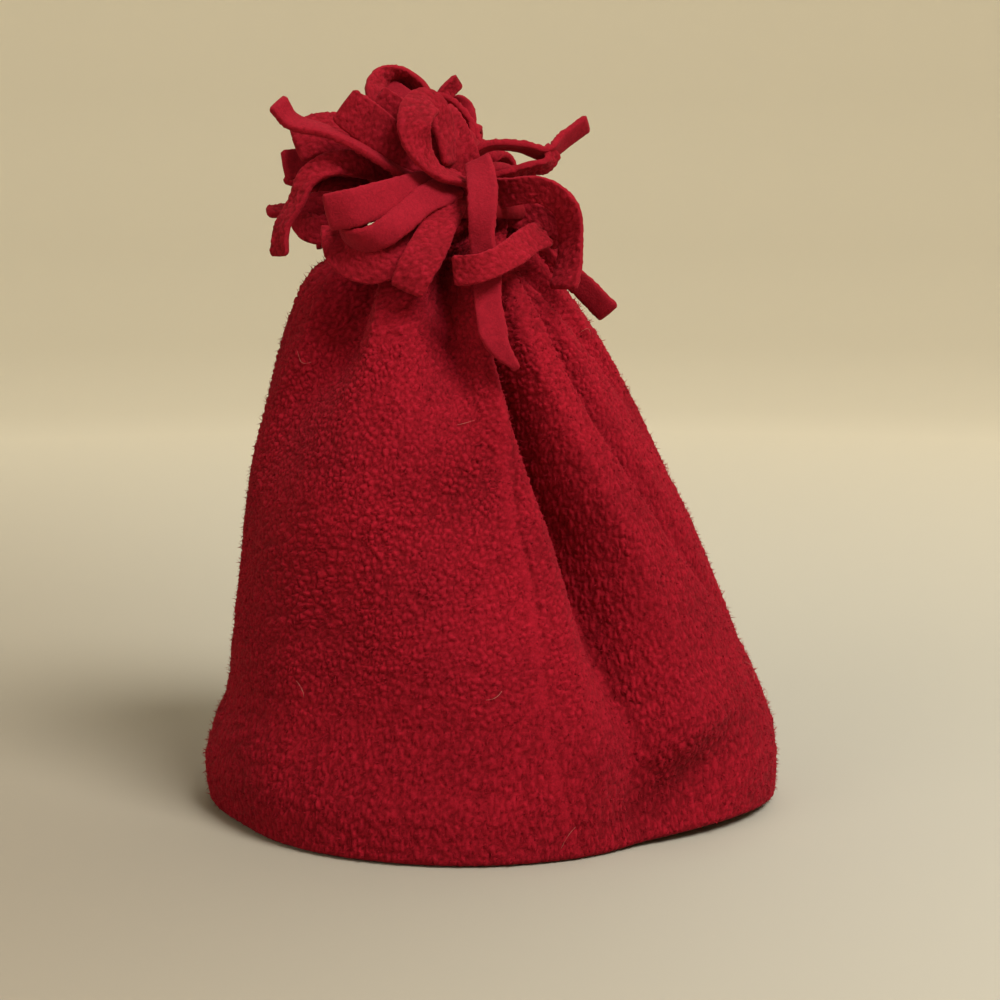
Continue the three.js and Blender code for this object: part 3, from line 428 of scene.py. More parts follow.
def with_pile(grid, normals, az, z, swing, fade=1.0):
    """Raises the pile on a grid. Returns the raised grid and its tone there (0 to 1.3): the nap's height, which the
    colour ramp turns into painted shade in the gaps and painted highlight on the nubs, less painted shade along the
    seam's crease and the hem's fold line, plus the patches of painted shade and highlight.
    """
    shape = grid.shape[:2]
    p, n = grid.reshape(-1, 3), normals.reshape(-1, 3)
    az = wrap(np.asarray(az, float))
    az, z = np.broadcast_to(az, shape).ravel(), np.broadcast_to(z, shape).ravel()
    h = pile(p, nap_direction(p, az, z)) * swing
    tall = 0.5 + 0.5 * noise(p / 6.5, 95)
    amount = PILE_RISE * (0.8 + 0.4 * tall)
    # the seam: a flat stripe with a fine crease on its right
    reach = np.hypot(p[:, 0], p[:, 1])
    off = np.radians(wrap(az - seam_azimuth(z))) * reach
    flat = np.exp(-(off / 1.5) ** 2) * smooth(160, 146, z)
    crease = np.exp(-((off - 2.1) / 0.6) ** 2) * smooth(160, 146, z)
    h = h * (1 - 0.55 * flat) + 0.42 * flat
    # the fold line of the turned-up hem
    line = np.interp(az, HEM_AZ, HEM_Z)
    fold = np.exp(-((z - line) / 2.0) ** 2)
    sink = PILE_SINK + 0.5 * crease * (0.45 + 0.55 * smooth(55, 100, z)) + 0.22 * fold
    lifted = p + n * ((h * amount - sink) * fade)[:, None]
    # painted shade and painted highlights in patches over the folds and dents
    painted_light = np.zeros_like(h)
    for c, zc, ha, hz, amount, tilt in PAINTED_SHADE_AND_HIGHLIGHTS:
        o, dz, t = np.radians(wrap(az - c)) * reach, z - zc, math.radians(tilt)
        painted_light += amount * np.exp(-1.2 * (((o * math.cos(t) + dz * math.sin(t)) / ha) ** 2 + ((-o * math.sin(t) + dz * math.cos(t)) / hz) ** 2))
    # tone: the nap's height, painted shade in the seam's crease and along the hem's fold line, and the painted patches
    tone = h - 0.2 * crease * (0.45 + 0.55 * smooth(55, 100, z)) - 0.04 * fold + painted_light
    return lifted.reshape(*shape, 3), np.clip(tone, 0, 1.3).reshape(shape)


PAINTED_SHADE_AND_HIGHLIGHTS = [  # azimuth, height, half across, half up, change of tone (painted shade where below 0, painted highlight where above), tilt
    (2.0, 108, 10, 24, -0.26, -55),
    (-30.0, 78, 16, 30, -0.12, 10),
    (-3.0, 62, 24, 15, 0.16, 15),
    (-17.0, 146, 7, 24, 0.18, 12),
    (43.0, 14, 28, 9, -0.32, 30),
    (60.0, 60, 14, 40, -0.12, 20),
    (38.0, 50, 6, 16, -0.22, 0),
]
PILE_RISE = 1.05
PILE_SINK = 0.75
HEM_AZ = [-180, -120, -77, -45, -22, -9, 6, 16, 27, 41, 70, 120, 180]
HEM_Z = [41.5, 41.5, 41.9, 43, 40.6, 39.8, 40.4, 42.2, 42.4, 43.7, 42, 41.5, 41.5]


def even_columns(a0, a1, count, v):
    """For each row, azimuths that part the wall between a0 and a1 into equal lengths."""
    fine = np.linspace(a0, a1, 361)
    pts = outer(fine, v)
    step = np.linalg.norm(np.diff(pts, axis=1), axis=-1)
    run = np.concatenate([np.zeros((len(v), 1)), np.cumsum(step, 1)], 1)
    run /= run[:, -1:]
    want = np.linspace(0, 1, count + 1)
    az = np.array([np.interp(want, run[i], fine) for i in range(len(v))])
    # keep neighbouring rows in step with each other
    for _ in range(6):
        az[1:-1] = 0.25 * az[:-2] + 0.5 * az[1:-1] + 0.25 * az[2:]
    return az


def outer_at(az, v):
    """As outer(), with azimuths of its own for each row."""
    out = np.empty(az.shape + (3,))
    v = np.asarray(v, float)
    z, cx, hw, cy, hd = (x[:, None] for x in section(v))
    a = np.radians(az)
    sx, sy = np.sin(a), -np.cos(a)
    r = 1.0 / np.sqrt((sx / hw) ** 2 + (sy / hd) ** 2)
    drop, slide = np.zeros_like(r), np.zeros_like(r)
    for name, azs, deep, hl, hr, sharp, lean in FOLDS:
        c, d = through(FOLD_HEIGHTS, azs, z), through(FOLD_HEIGHTS, deep, z)
        d = np.where(z < 36, d * np.clip(z / 36, 0, 1), d)
        off = np.radians(wrap(az - c)) * r
        left, right = through(FOLD_HEIGHTS, hl, z), through(FOLD_HEIGHTS, hr, z)
        q = np.abs(off / np.where(off > 0, right, left))
        drop += d * ((1 - sharp) * bell(q) + sharp * cusp(q))
        slide += through(FOLD_HEIGHTS, lean, z) * bell((off / left + 0.75) / 0.75) * (off <= 0)
    for name, c, zc, ha, hz, up, tilt in DENTS:
        off, dz, t = np.radians(wrap(az - c)) * r, z - zc, math.radians(tilt)
        u, w = (off * math.cos(t) + dz * math.sin(t)) / ha, (-off * math.sin(t) + dz * math.cos(t)) / hz
        drop -= up * np.exp(-1.2 * (u * u + w * w))
    out[..., 0] = cx + (r - drop) * sx - slide * sy
    out[..., 1] = cy + (r - drop) * sy + slide * sx
    out[..., 2] = z + lift(az, z)
    return out


def outer_normals(az, v):
    d = 0.25
    du = outer_at(az + d, v) - outer_at(az - d, v)
    lo, hi = np.clip(v - 0.0012, 0, 1), np.clip(v + 0.0012, 0, 1)
    dv = outer_at(az, hi) - outer_at(az, lo)
    n = np.cross(du, dv)
    return n / np.maximum(np.linalg.norm(n, axis=-1, keepdims=True), 1e-9)


LINING_Z = [3, 8, 14, 20, 27, 34, 40, 47, 55, 64, 74, 84, 95, 106, 117, 128, 138, 147, 155, 162, 168, 172]


def slant(z):
    return CLOTH * (1 if z < 148 else 1 + 0.6 * ((z - 148) / 24) ** 1.5)


OUT_TOP = (float((-26 + 12.5) / 2), 0.0, 198.4)
IN_TOP = (OUT_TOP[0] + 4.0, 0.0, HOLLOW_TOP + 2.5)
RIM_CURL = [(2.0, 0.0, 0.15), (1.15, 0.25, 0.45), (0.5, 0.75, 0.75), (0.15, 1.35, 0.95)]  # inset, height, share of the pile


def crown_wedge(name, a0, a1, low_cols, spacing, rows_high_step):
    """A closed wedge: outer wall with its pile, rounded rim, lining, and the two cut sides inside the cloth."""
    rows_low = int(round(RUN_LENGTH * run_at(150.0) / spacing))
    v_low = np.linspace(run_at(2.0), run_at(150.0), rows_low + 1)
    rows_high = int(round(RUN_LENGTH * (1 - run_at(150.0)) / (spacing * rows_high_step)))
    v_high = np.linspace(run_at(150.0), 1.0, rows_high + 1)[1:]
    high_cols = low_cols // 2
    low_cols = high_cols * 2
    az_low, az_high = even_columns(a0, a1, low_cols, v_low), even_columns(a0, a1, high_cols, v_high)
    parts, heights = [], []
    # rim
    rim_az = np.repeat(az_low[:1], len(RIM_CURL), 0)
    base = outer_at(rim_az, np.full(len(RIM_CURL), run_at(2.0)))
    nrm = outer_normals(rim_az, np.full(len(RIM_CURL), run_at(2.0)))
    flat_n = nrm * [1, 1, 0]
    flat_n /= np.linalg.norm(flat_n, axis=-1, keepdims=True)
    rim = base - flat_n * np.array([r[0] for r in RIM_CURL])[:, None, None]
    rim[..., 2] = np.array([r[1] for r in RIM_CURL])[:, None] + lift(rim_az, 0.0)
    share = np.array([r[2] for r in RIM_CURL])[:, None] * np.ones((1, low_cols + 1))
    rim, rim_h = with_pile(rim, flat_n, rim_az, np.full(rim.shape[:2], 1.0), 1.0, share.ravel())
    low, low_h = with_pile(outer_at(az_low, v_low), outer_normals(az_low, v_low), az_low, section(v_low)[0][:, None], 1.0)
    floor_z = lift(az_low[0], 0.0)[None, :]
    rim[..., 2] = np.maximum(rim[..., 2], floor_z)
    wall = np.concatenate([rim, low], 0)
    high, high_h = with_pile(outer_at(az_high, v_high), outer_normals(az_high, v_high), az_high, section(v_high)[0][:, None], 1.0)
    verts = [wall.reshape(-1, 3), high.reshape(-1, 3)]
    hts = [np.concatenate([rim_h, low_h], 0).ravel(), high_h.ravel()]
    n_wall, n_rows = wall.shape[0], low_cols + 1
    faces = [quads(n_wall, n_rows)]
    start_high = n_wall * n_rows
    edge_low = (n_wall - 1) * n_rows + np.arange(n_rows)
    edge_high = start_high + np.arange(high_cols + 1)
    faces.append(zipper(edge_low, edge_high))
    faces.append(quads(high.shape[0], high_cols + 1, start_high))
    count = start_high + high.shape[0] * (high_cols + 1)
    top_row = start_high + (high.shape[0] - 1) * (high_cols + 1) + np.arange(high_cols + 1)
    verts.append(np.array([OUT_TOP]))
    hts.append([0.5])
    out_top = count
    count += 1
    faces.append(np.stack([top_row[:-1], top_row[1:], np.full(high_cols, out_top)], -1))
    # lining
    cols = max(4, int(round((a1 - a0) / 1.5)))
    laz = np.linspace(a0, a1, cols + 1)
    ring0 = inner(laz, [1.5], [3.6])
    ring0[..., 2] = lift(laz, 0.0)
    rows = [ring0[0]] + list(inner(laz, LINING_Z, [slant(z) for z in LINING_Z]))
    lining = np.array(rows)
    start_in = count
    verts.append(lining.reshape(-1, 3))
    hts.append(np.full(lining.shape[0] * (cols + 1), 0.6))
    count += lining.shape[0] * (cols + 1)
    faces.append(quads(lining.shape[0], cols + 1, start_in, flip=True))
    verts.append(np.array([IN_TOP]))
    hts.append([0.6])
    in_top = count
    last = start_in + (lining.shape[0] - 1) * (cols + 1) + np.arange(cols + 1)
    faces.append(np.stack([last[1:], last[:-1], np.full(cols, in_top)], -1))
    # underside of the rim
    faces.append(zipper(np.arange(n_rows), start_in + np.arange(cols + 1), flip=True))
    # the two sides
    borders = []
    for k in (0, 1):
        a = np.concatenate([np.arange(n_wall) * n_rows + (n_rows - 1) * k,
                            start_high + np.arange(high.shape[0]) * (high_cols + 1) + high_cols * k, [out_top]])
        b = np.concatenate([start_in + np.arange(lining.shape[0]) * (cols + 1) + cols * k, [in_top]])
        a_at = np.concatenate([[r[1] for r in RIM_CURL], section(v_low)[0], section(v_high)[0], [OUT_TOP[2]]])
        b_at = np.array([1.5] + LINING_Z + [IN_TOP[2]])
        faces.append(zipper(a, b, flip=(k == 1), a_at=a_at, b_at=b_at))
        borders += [a, b]
    o = mesh_object(name, np.concatenate(verts), faces, np.concatenate(hts))
    sharpen(o, borders)
    return o


def sharpen(o, lines):
    """Keeps the shading of the cloth's face apart from that of the cut sides along these lines of points."""
    me = o.data
    place = np.full(len(me.vertices), -10, np.int64)
    e = np.empty(len(me.edges) * 2, np.int32)
    me.edges.foreach_get("vertices", e)
    e = e.reshape(-1, 2)
    sharp = np.zeros(len(e), bool)
    for line in lines:
        place[:] = -10
        place[line] = np.arange(len(line))
        a, b = place[e[:, 0]], place[e[:, 1]]
        sharp |= (a >= 0) & (b >= 0) & (np.abs(a - b) == 1)
    mark = me.attributes.get("sharp_edge") or me.attributes.new("sharp_edge", "BOOLEAN", "EDGE")
    mark.data.foreach_set("value", sharp)
    me.update()


FINE = 0.49
front = [("crown_left", -95, -38), ("crown_middle", -38, 8), ("crown_valley", 8, 50), ("crown_right", 50, 95)]
crown_pieces = []
for name, a0, a1 in front:
    v = np.array([run_at(h) for h in (2, 40, 80, 110, 140)])
    fine = outer(np.linspace(a0, a1, 200), v)
    longest = np.linalg.norm(np.diff(fine, axis=1), axis=-1).sum(1).max()
    crown_pieces.append(crown_wedge(name, a0, a1, int(longest / FINE / 2) * 2, FINE, 1.1))
for name, a0, a1 in [("crown_back_right", 95, 180), ("crown_back_left", 180, 265)]:
    crown_pieces.append(crown_wedge(name, a0, a1, 150, 0.85, 1.1))


# ---- hem turned up inside ----
def turned_hem():
    cols = 420
    az = np.arange(cols) * 360.0 / cols
    depth_in, depth_out = CLOTH + GAP + HEM_CLOTH, CLOTH + GAP + 0.1
    zs_in = np.linspace(1.2, HEM_HEIGHT - 1.2, 40)
    inside = inner(az, zs_in, np.full(len(zs_in), depth_in))
    n = -grid_normals(inside, True)
    lifted, h = with_pile(inside, n, wrap(az)[None, :] + np.zeros((len(zs_in), 1)), zs_in[:, None] + np.zeros((1, cols)), 1.0, 0.55)
    # keep clear of the crown's lining
    zs_out = np.linspace(HEM_HEIGHT - 1.5, 1.5, 6)
    outside = inner(az, zs_out, np.full(len(zs_out), depth_out))
    top = inner(az, [HEM_HEIGHT, HEM_HEIGHT], [depth_in - 0.9, depth_out + 0.8])
    low = inner(az, [1.0, 1.0], [depth_out + 0.8, depth_in - 0.9])
    low[..., 2] = lift(az, 0.0)[None, :]
    rows = np.concatenate([lifted, top, outside, low], 0)
    heights = np.concatenate([h, np.full((10, cols), 0.6)], 0)
    r = rows.shape[0]
    faces = [quads(r, cols, closed=True, flip=True)]
    last, first = (r - 1) * cols + np.arange(cols), np.arange(cols)
    k = (np.arange(cols) + 1) % cols
    faces.append(np.stack([last, first, first[k], last[k]], -1))
    return mesh_object("turned_hem_cloth", rows.reshape(-1, 3), faces, heights.ravel())


hem_piece = turned_hem()


# ---- tie: a cord wound round the gathered neck ----
def gather_tie():
    cols = 240
    az = np.arange(cols) * 360.0 / cols
    a = np.radians(az)
    ring = []
    turns = np.linspace(0, 2 * math.pi, 29)[:-1]
    for t in turns:
        z = 191 + 2.9 * math.sin(t)
        _, cx, hw, cy, hd = (float(x) for x in section(run_at(z)))
        r = 1 / np.sqrt((np.sin(a) / hw) ** 2 + (np.cos(a) / hd) ** 2)
        ridge = 0.22 * math.cos(3 * t)
        out = 0.5 + 1.6 + 1.45 * math.cos(t) + (ridge + 0.12 * np.sin(60 * a + 3 * t) if math.cos(t) > -0.2 else 0)
        ring.append(np.stack([cx + (r + out) * np.sin(a), cy - (r + out) * np.cos(a), np.full(cols, z)], -1))
    rows = np.array(ring)
    r = rows.shape[0]
    faces = [quads(r, cols, closed=True)]
    last, first = (r - 1) * cols + np.arange(cols), np.arange(cols)
    k = (np.arange(cols) + 1) % cols
    faces.append(np.stack([last, last[k], first[k], first], -1))
    return mesh_object("gather_tie_cloth", rows.reshape(-1, 3), faces, np.full(r * cols, 0.4))


tie_piece = gather_tie()


# ---- fringe strips ----
def curve_points(path, count):
    """Even steps along a centripetal Catmull-Rom curve, with the direction at each."""
    p = np.asarray(path, float)
    p = np.concatenate([[2 * p[0] - p[1]], p, [2 * p[-1] - p[-2]]])
    fine = []
    for i in range(1, len(p) - 2):
        d0, d1, d2 = (max(np.linalg.norm(p[i + k] - p[i + k - 1]) ** 0.5, 1e-4) for k in (0, 1, 2))
        t1 = ((p[i] - p[i - 1]) / d0 - (p[i + 1] - p[i - 1]) / (d0 + d1) + (p[i + 1] - p[i]) / d1) * d1
        t2 = ((p[i + 1] - p[i]) / d1 - (p[i + 2] - p[i]) / (d1 + d2) + (p[i + 2] - p[i + 1]) / d2) * d1
        t = np.linspace(0, 1, 60)[:, None]
        fine.append((2 * t**3 - 3 * t**2 + 1) * p[i] + (t**3 - 2 * t**2 + t) * t1 + (3 * t**2 - 2 * t**3) * p[i + 1] + (t**3 - t**2) * t2)
    fine = np.concatenate([f[:-1] for f in fine[:-1]] + [fine[-1]])
    run = np.concatenate([[0], np.cumsum(np.linalg.norm(np.diff(fine, axis=0), axis=1))])
    want = np.linspace(0, run[-1], count)
    out = np.stack([np.interp(want, run, fine[:, k]) for k in range(3)], -1)
    for _ in range(2):
        out[1:-1] = 0.25 * out[:-2] + 0.5 * out[1:-1] + 0.25 * out[2:]
    d = np.gradient(out, axis=0)
    return out, d / np.linalg.norm(d, axis=1, keepdims=True), run[-1]


def curve_length(path):
    return curve_points(path, 50)[2]


STRIP_THICK = 2.4


def strip(path, width, roll, tip, toward, pile_out, seed, step=0.6):
    """One cut strip of the fleece. Returns its points, faces, nap height and side (1 on the smooth side)."""
    length = curve_length(path)
    n = max(12, int(length / step))
    c, run, _ = curve_points(path, n)
    toward = np.asarray(toward, float)
    side, sides = None, []
    for i in range(n):
        across = np.cross(run[i], toward)
        if side is None or np.linalg.norm(across) > 0.35:
            new = across / np.linalg.norm(across)
            side = new if side is None else side * 0.75 + new * 0.25
        side = side - run[i] * (side @ run[i])
        side = side / np.linalg.norm(side)
        sides.append(side)
    sides = np.array(sides)
    t = np.linspace(0, 1, n)
    turn = np.radians(np.interp(t * (len(roll) - 1), np.arange(len(roll)), roll))
    for _ in range(8):
        turn[1:-1] = 0.25 * turn[:-2] + 0.5 * turn[1:-1] + 0.25 * turn[2:]
    # turning side about run
    w = sides * np.cos(turn)[:, None] + np.cross(run, sides) * np.sin(turn)[:, None]
    nrm = np.cross(w, run)
    rng = np.random.RandomState(seed)
    wave = 0.35 * np.sin(t * length / 9.0 + rng.rand() * 6) + 0.2 * np.sin(t * length / 4.1 + rng.rand() * 6)
    half = (width / 2 + wave * 0.6)
    if tip == "point":
        half = half * np.where(t > 0.8, 1 - 0.75 * (t - 0.8) / 0.2, 1)
    ends = np.minimum(1, np.sqrt(np.clip(np.minimum(t, 1 - t) * length / 1.1, 0.02, 1)))
    thick = STRIP_THICK / 2 * ends
    half = half * (0.82 + 0.18 * ends)
    cup = 0.35 * np.sin(t * 3 + rng.rand() * 6)
    # cross-section: pile face close-set, smooth face wider-set
    pn, sn, en = max(10, int(width / step)), 9, 3
    u, v, face = [], [], []
    for k in range(pn + 1):
        x = -1 + 2 * k / pn
        u.append(x * 0.94); v.append(1.0 - 0.12 * x**6); face.append(1)
    for k in range(1, en + 1):
        a = math.pi / 2 * (1 - 2 * k / (en + 1))
        u.append(0.94 + 0.10 * math.cos(a)); v.append(0.88 * math.sin(a)); face.append(0)
    for k in range(sn + 1):
        x = 1 - 2 * k / sn
        u.append(x * 0.94); v.append(-(1.0 - 0.12 * x**6)); face.append(-1)
    for k in range(1, en + 1):
        a = -math.pi / 2 * (1 - 2 * k / (en + 1))
        u.append(-(0.94 + 0.10 * math.cos(a))); v.append(0.88 * math.sin(a)); face.append(0)
    u, v, face = np.array(u), np.array(v), np.array(face)
    s = 1.0 if pile_out else -1.0
    m = len(u)
    pts = (c[:, None] + w[:, None] * (u * half[:, None] * s)[..., None]
           + nrm[:, None] * ((v * thick[:, None] + (cup[:, None] * (1 - u**2) - cup[:, None] * 0.5)) * s)[..., None])
    out_dir = nrm[:, None] * (np.where(face == 0, 0, np.sign(face)) * s)[None, :, None] + w[:, None] * (np.where(face == 0, np.sign(u), 0) * s)[None, :, None]
    flat_p = pts.reshape(-1, 3) + seed * 37.0
    h = pile(flat_p, np.full(len(flat_p), 0.0), 61).reshape(n, m)
    soft = noise(flat_p / 2.6, 71).reshape(n, m) * 0.5 + noise(flat_p / 1.1, 72).reshape(n, m) * 0.5
    fuzz = noise(flat_p / 0.8, 73).reshape(n, m)
    move = np.where(face[None] == 1, (h - 0.62) * 0.75, np.where(face[None] == -1, soft * 0.16, 0.28 * fuzz + 0.15 * (h - 0.5)))
    move = move * ends[:, None]
    pts = pts + out_dir * move[..., None]
    # on the pile face the nub height becomes painted shade in the gaps and painted highlight on the nubs
    nap = np.where(face[None] == 1, h, np.where(face[None] == -1, 0.80 + 0.1 * soft, 0.62 + 0.2 * fuzz))
    smooth_side = np.repeat((face == -1).astype(float)[None], n, 0)
    faces = [quads(n, m, closed=True)]
    verts = [pts.reshape(-1, 3)]
    # ends
    total = n * m
    for k, row in ((0, 0), (1, n - 1)):
        ringi = row * m + np.arange(m)
        verts.append((pts[row].mean(0) + run[row] * (0.15 if k else -0.15))[None])
        tri = np.stack([ringi, np.roll(ringi, -1), np.full(m, total)], -1)
        faces.append(tri if k else tri[:, ::-1])
        total += 1
    return (np.concatenate(verts), faces, np.concatenate([nap.ravel(), [0.5, 0.5]]), np.concatenate([smooth_side.ravel(), [0, 0]]))


def joined(name, items):
    verts, faces, nap, sides, base = [], [], [], [], 0
    for v, f, n, s in items:
        verts.append(v)
        faces += [x + base for x in f]
        nap.append(n)
        sides.append(s)
        base += len(v)
    o = mesh_object(name, np.concatenate(verts), faces, np.concatenate(nap))
    a = o.data.attributes.new("smooth_side", "FLOAT", "POINT")
    a.data.foreach_set("value", np.concatenate(sides).astype(np.float32))
    return o


def outward(item):
    """Turns a closed shell's faces round if they look inwards."""
    v, faces, n, s = item
    vol = 0.0
    for f in faces:
        for k in range(1, f.shape[1] - 1):
            vol += np.einsum("ij,ij->i", v[f[:, 0]], np.cross(v[f[:, k]], v[f[:, k + 1]])).sum()
    return item if vol > 0 else (v, [f[:, ::-1] for f in faces], n, s)


front_strips = [outward(strip(path, width, roll, tip, (0, -1, 0), side == "pile", 10 + k))
                for k, (name, width, side, roll, tip, path) in enumerate(STRIPS)]


def vary(k, tier, n):
    v = math.sin(12.9898 * (k + 1) + 78.233 * (tier + 1) + 37.719 * n) * 43758.5453
    return v - math.floor(v)


fill_strips = []
for ti, (tier, number, a_from, a_to, t_reach, t_rise, t_end, t_width, t_lean) in enumerate(FILL):
    for k in range(number):
        az = a_from + (a_to - a_from) * (k + 0.25 + 0.5 * vary(k, ti, 0)) / number
        sway = 36 * (vary(k, ti, 1) - 0.5)
        reach = t_reach * (0.86 + 0.24 * vary(k, ti, 2)) * (1 - 0.16 * math.sin(math.radians(az)))
        rise, end = t_rise * (0.75 + 0.5 * vary(k, ti, 3)), t_end + 12 * (vary(k, ti, 4) - 0.5)

        def at(share, turn, z):
            return (NECK_X - share * t_lean + share * reach * math.sin(math.radians(az + turn)), -share * reach * math.cos(math.radians(az + turn)), z)
        path = [at(0.18, 0, 197), at(0.42, sway * 0.3, 197 + rise * 0.85), at(0.78, sway * 0.7, (197 + rise + end) / 2 + 3), at(1, sway, end)]
        toward = (0.9 * math.sin(math.radians(az + sway)), -0.9 * math.cos(math.radians(az + sway)), 1.0)
        roll = [20 * (vary(k, ti, 5) - 0.5), 70 * (vary(k, ti, 6) - 0.5), 70 * (vary(k, ti, 7) - 0.5)]
        fill_strips.append(outward(strip(path, t_width, roll, "blunt", toward, vary(k, ti, 8) > 0.35, 40 + 10 * ti + k, 0.75)))


def core():
    """The bunched cloth in the middle of the fringe."""
    rows, cols = 60, 120
    th = np.linspace(0.03, math.pi - 0.03, rows)[:, None]
    ph = np.linspace(0, 2 * math.pi, cols + 1)[None, :-1]
    d = np.stack([np.sin(th) * np.cos(ph), np.sin(th) * np.sin(ph), -np.cos(th) + 0 * ph], -1)
    g = np.array([-21.0, 1.0, 206.0]) + d * np.array([19.0, 20.0, 16.0])
    h = pile(g.reshape(-1, 3), np.zeros(rows * cols), 81).reshape(rows, cols)
    g = g + d * ((h - 0.6) * 1.2)[..., None]
    verts = np.concatenate([g.reshape(-1, 3), [g[0].mean(0)], [g[-1].mean(0)]])
    first, last, k = np.arange(cols), (rows - 1) * cols + np.arange(cols), (np.arange(cols) + 1) % cols
    faces = [quads(rows, cols, closed=True),
             np.stack([first[k], first, np.full(cols, rows * cols)], -1),
             np.stack([last, last[k], np.full(cols, rows * cols + 1)], -1)]
    return outward((verts, faces, np.concatenate([h.ravel() * 0.7, [0.4, 0.4]]), np.zeros(rows * cols + 2)))


BACKING = [  # width, points it passes through (mm)
    (12.0, [(-20, 6, 201), (-33, 8, 211), (-47, 7, 213), (-57, 4, 207), (-61, 1, 198)]),
    (11.0, [(-18, 4, 196), (-31, 4, 203), (-43, 1, 203), (-50, -4, 195), (-52, -7, 187)]),
]
front_strips += [outward(strip(path, width, (0, 10, 20), "blunt", (0, -1, 0), True, 60 + k)) for k, (width, path) in enumerate(BACKING)]
fringe_front = joined("fringe_front", front_strips)
fringe_rest = joined("fringe_rest", fill_strips + [core()])


# ---- stray fibres ----
def fibres(count, seed):
    rng = np.random.RandomState(seed)
    items = []
    for _ in range(count):
        az = rng.uniform(-100, 100)
        z = rng.uniform(4, 165)
        v = np.array([run_at(z)])
        a = np.array([[az]])
        p, n = outer_at(a, v)[0, 0], outer_normals(a, v)[0, 0]
        length = rng.uniform(4, 11)
        t1 = np.cross(n, [0, 0, 1.0]); t1 /= np.linalg.norm(t1)
        t2 = np.cross(n, t1)
        ang = rng.uniform(0, 2 * math.pi)
        d = t1 * math.cos(ang) + t2 * math.sin(ang)
        b = np.cross(n, d)
        k = np.linspace(0, 1, 12)[:, None]
        line = p + n * (0.2 + 1.0 * np.sin(k * math.pi) * rng.uniform(0.5, 1.4)) + d * (k * length) + b * (np.sin(k * rng.uniform(2, 5)) * rng.uniform(0.3, 1.8))
        run = np.gradient(line, axis=0); run /= np.linalg.norm(run, axis=1, keepdims=True)
        s = np.cross(run, n); s /= np.linalg.norm(s, axis=1, keepdims=True)
        up = np.cross(s, run)
        r = 0.055
        ring = [line + r * (s * math.cos(q) + up * math.sin(q)) for q in np.arange(4) * math.pi / 2]
        g = np.stack(ring, 1)
        m = 4
        verts = g.reshape(-1, 3)
        faces = [quads(12, m, closed=True), np.array([[3, 2, 1, 0]]), np.array([[44, 45, 46, 47]])]
        items.append(outward((verts, faces, np.ones(48), np.zeros(48))))
    return joined("stray_fibres", items)


def pile_tips(count, seed):
    """Single tips of the pile that stand out past the rest, as slender closed cones."""
    rng = np.random.RandomState(seed)
    az = rng.uniform(-180, 180, count * 2)
    v = rng.uniform(run_at(1.5), run_at(178.0), count * 2)
    keep = rng.uniform(0, 95, count * 2) < section(v)[2]
    az, v = az[keep][:count], v[keep][:count]
    order = np.argsort(v)
    az, v = az[order][:, None], v[order]
    z = section(v)[0][:, None]
    p, n = outer_at(az, v), outer_normals(az, v)
    p, h = with_pile(p, n, az, z, 1.0)
    p, n, h = p[:, 0], n[:, 0], h[:, 0]
    t1 = np.cross(n, [0, 0, 1.0])
    t1 /= np.linalg.norm(t1, axis=1, keepdims=True)
    t2 = np.cross(n, t1)
    turn = rng.uniform(0, 2 * np.pi, len(n))[:, None]
    lie = rng.uniform(0.45, 1.5, len(n))[:, None]
    d = n + lie * (t1 * np.cos(turn) + t2 * np.sin(turn))
    d /= np.linalg.norm(d, axis=1, keepdims=True)
    s = np.cross(d, n + 0.01 * t1)
    s /= np.linalg.norm(s, axis=1, keepdims=True)
    q = np.cross(d, s)
    foot = p - 0.35 * n
    length = rng.uniform(1.5, 2.7, len(n))[:, None]
    r = rng.uniform(0.14, 0.22, len(n))[:, None]
    ring = [foot + r * (s * math.cos(a) + q * math.sin(a)) for a in (0, 2 * math.pi / 3, 4 * math.pi / 3)]
    tip = foot + d * length
    tip[:, 2] = np.maximum(tip[:, 2], 0.15)
    verts = np.stack(ring + [tip], 1)
    verts[..., 2] = np.maximum(verts[..., 2], 0.05)
    k = 4 * np.arange(len(n))[:, None]
    faces = np.concatenate([k + np.array([[0, 1, 3]]), k + np.array([[1, 2, 3]]), k + np.array([[2, 0, 3]]), k + np.array([[2, 1, 0]])])
    # the tips carry the painted tone of the pile under them, raised towards the painted highlight
    nap = np.repeat(np.clip(h * 0.6 + 0.45, 0, 1.0), 4)
    return joined("pile_tips", [(verts.reshape(-1, 3), [faces], nap, np.zeros(len(nap)))])


tips = pile_tips(16500, 17)
stray = fibres(9, 5)


# ---- materials ----
def new_material(name):
    m = bpy.data.materials.new(name)
    m.use_nodes = True
    nt = m.node_tree
    bsdf = nt.nodes["Principled BSDF"]
    return m, nt, bsdf


def srgb(r, g, b):
    def lin(c):
        c /= 255.0
        return c / 12.92 if c <= 0.04045 else ((c + 0.055) / 1.055) ** 2.4
    return (lin(r), lin(g), lin(b), 1.0)


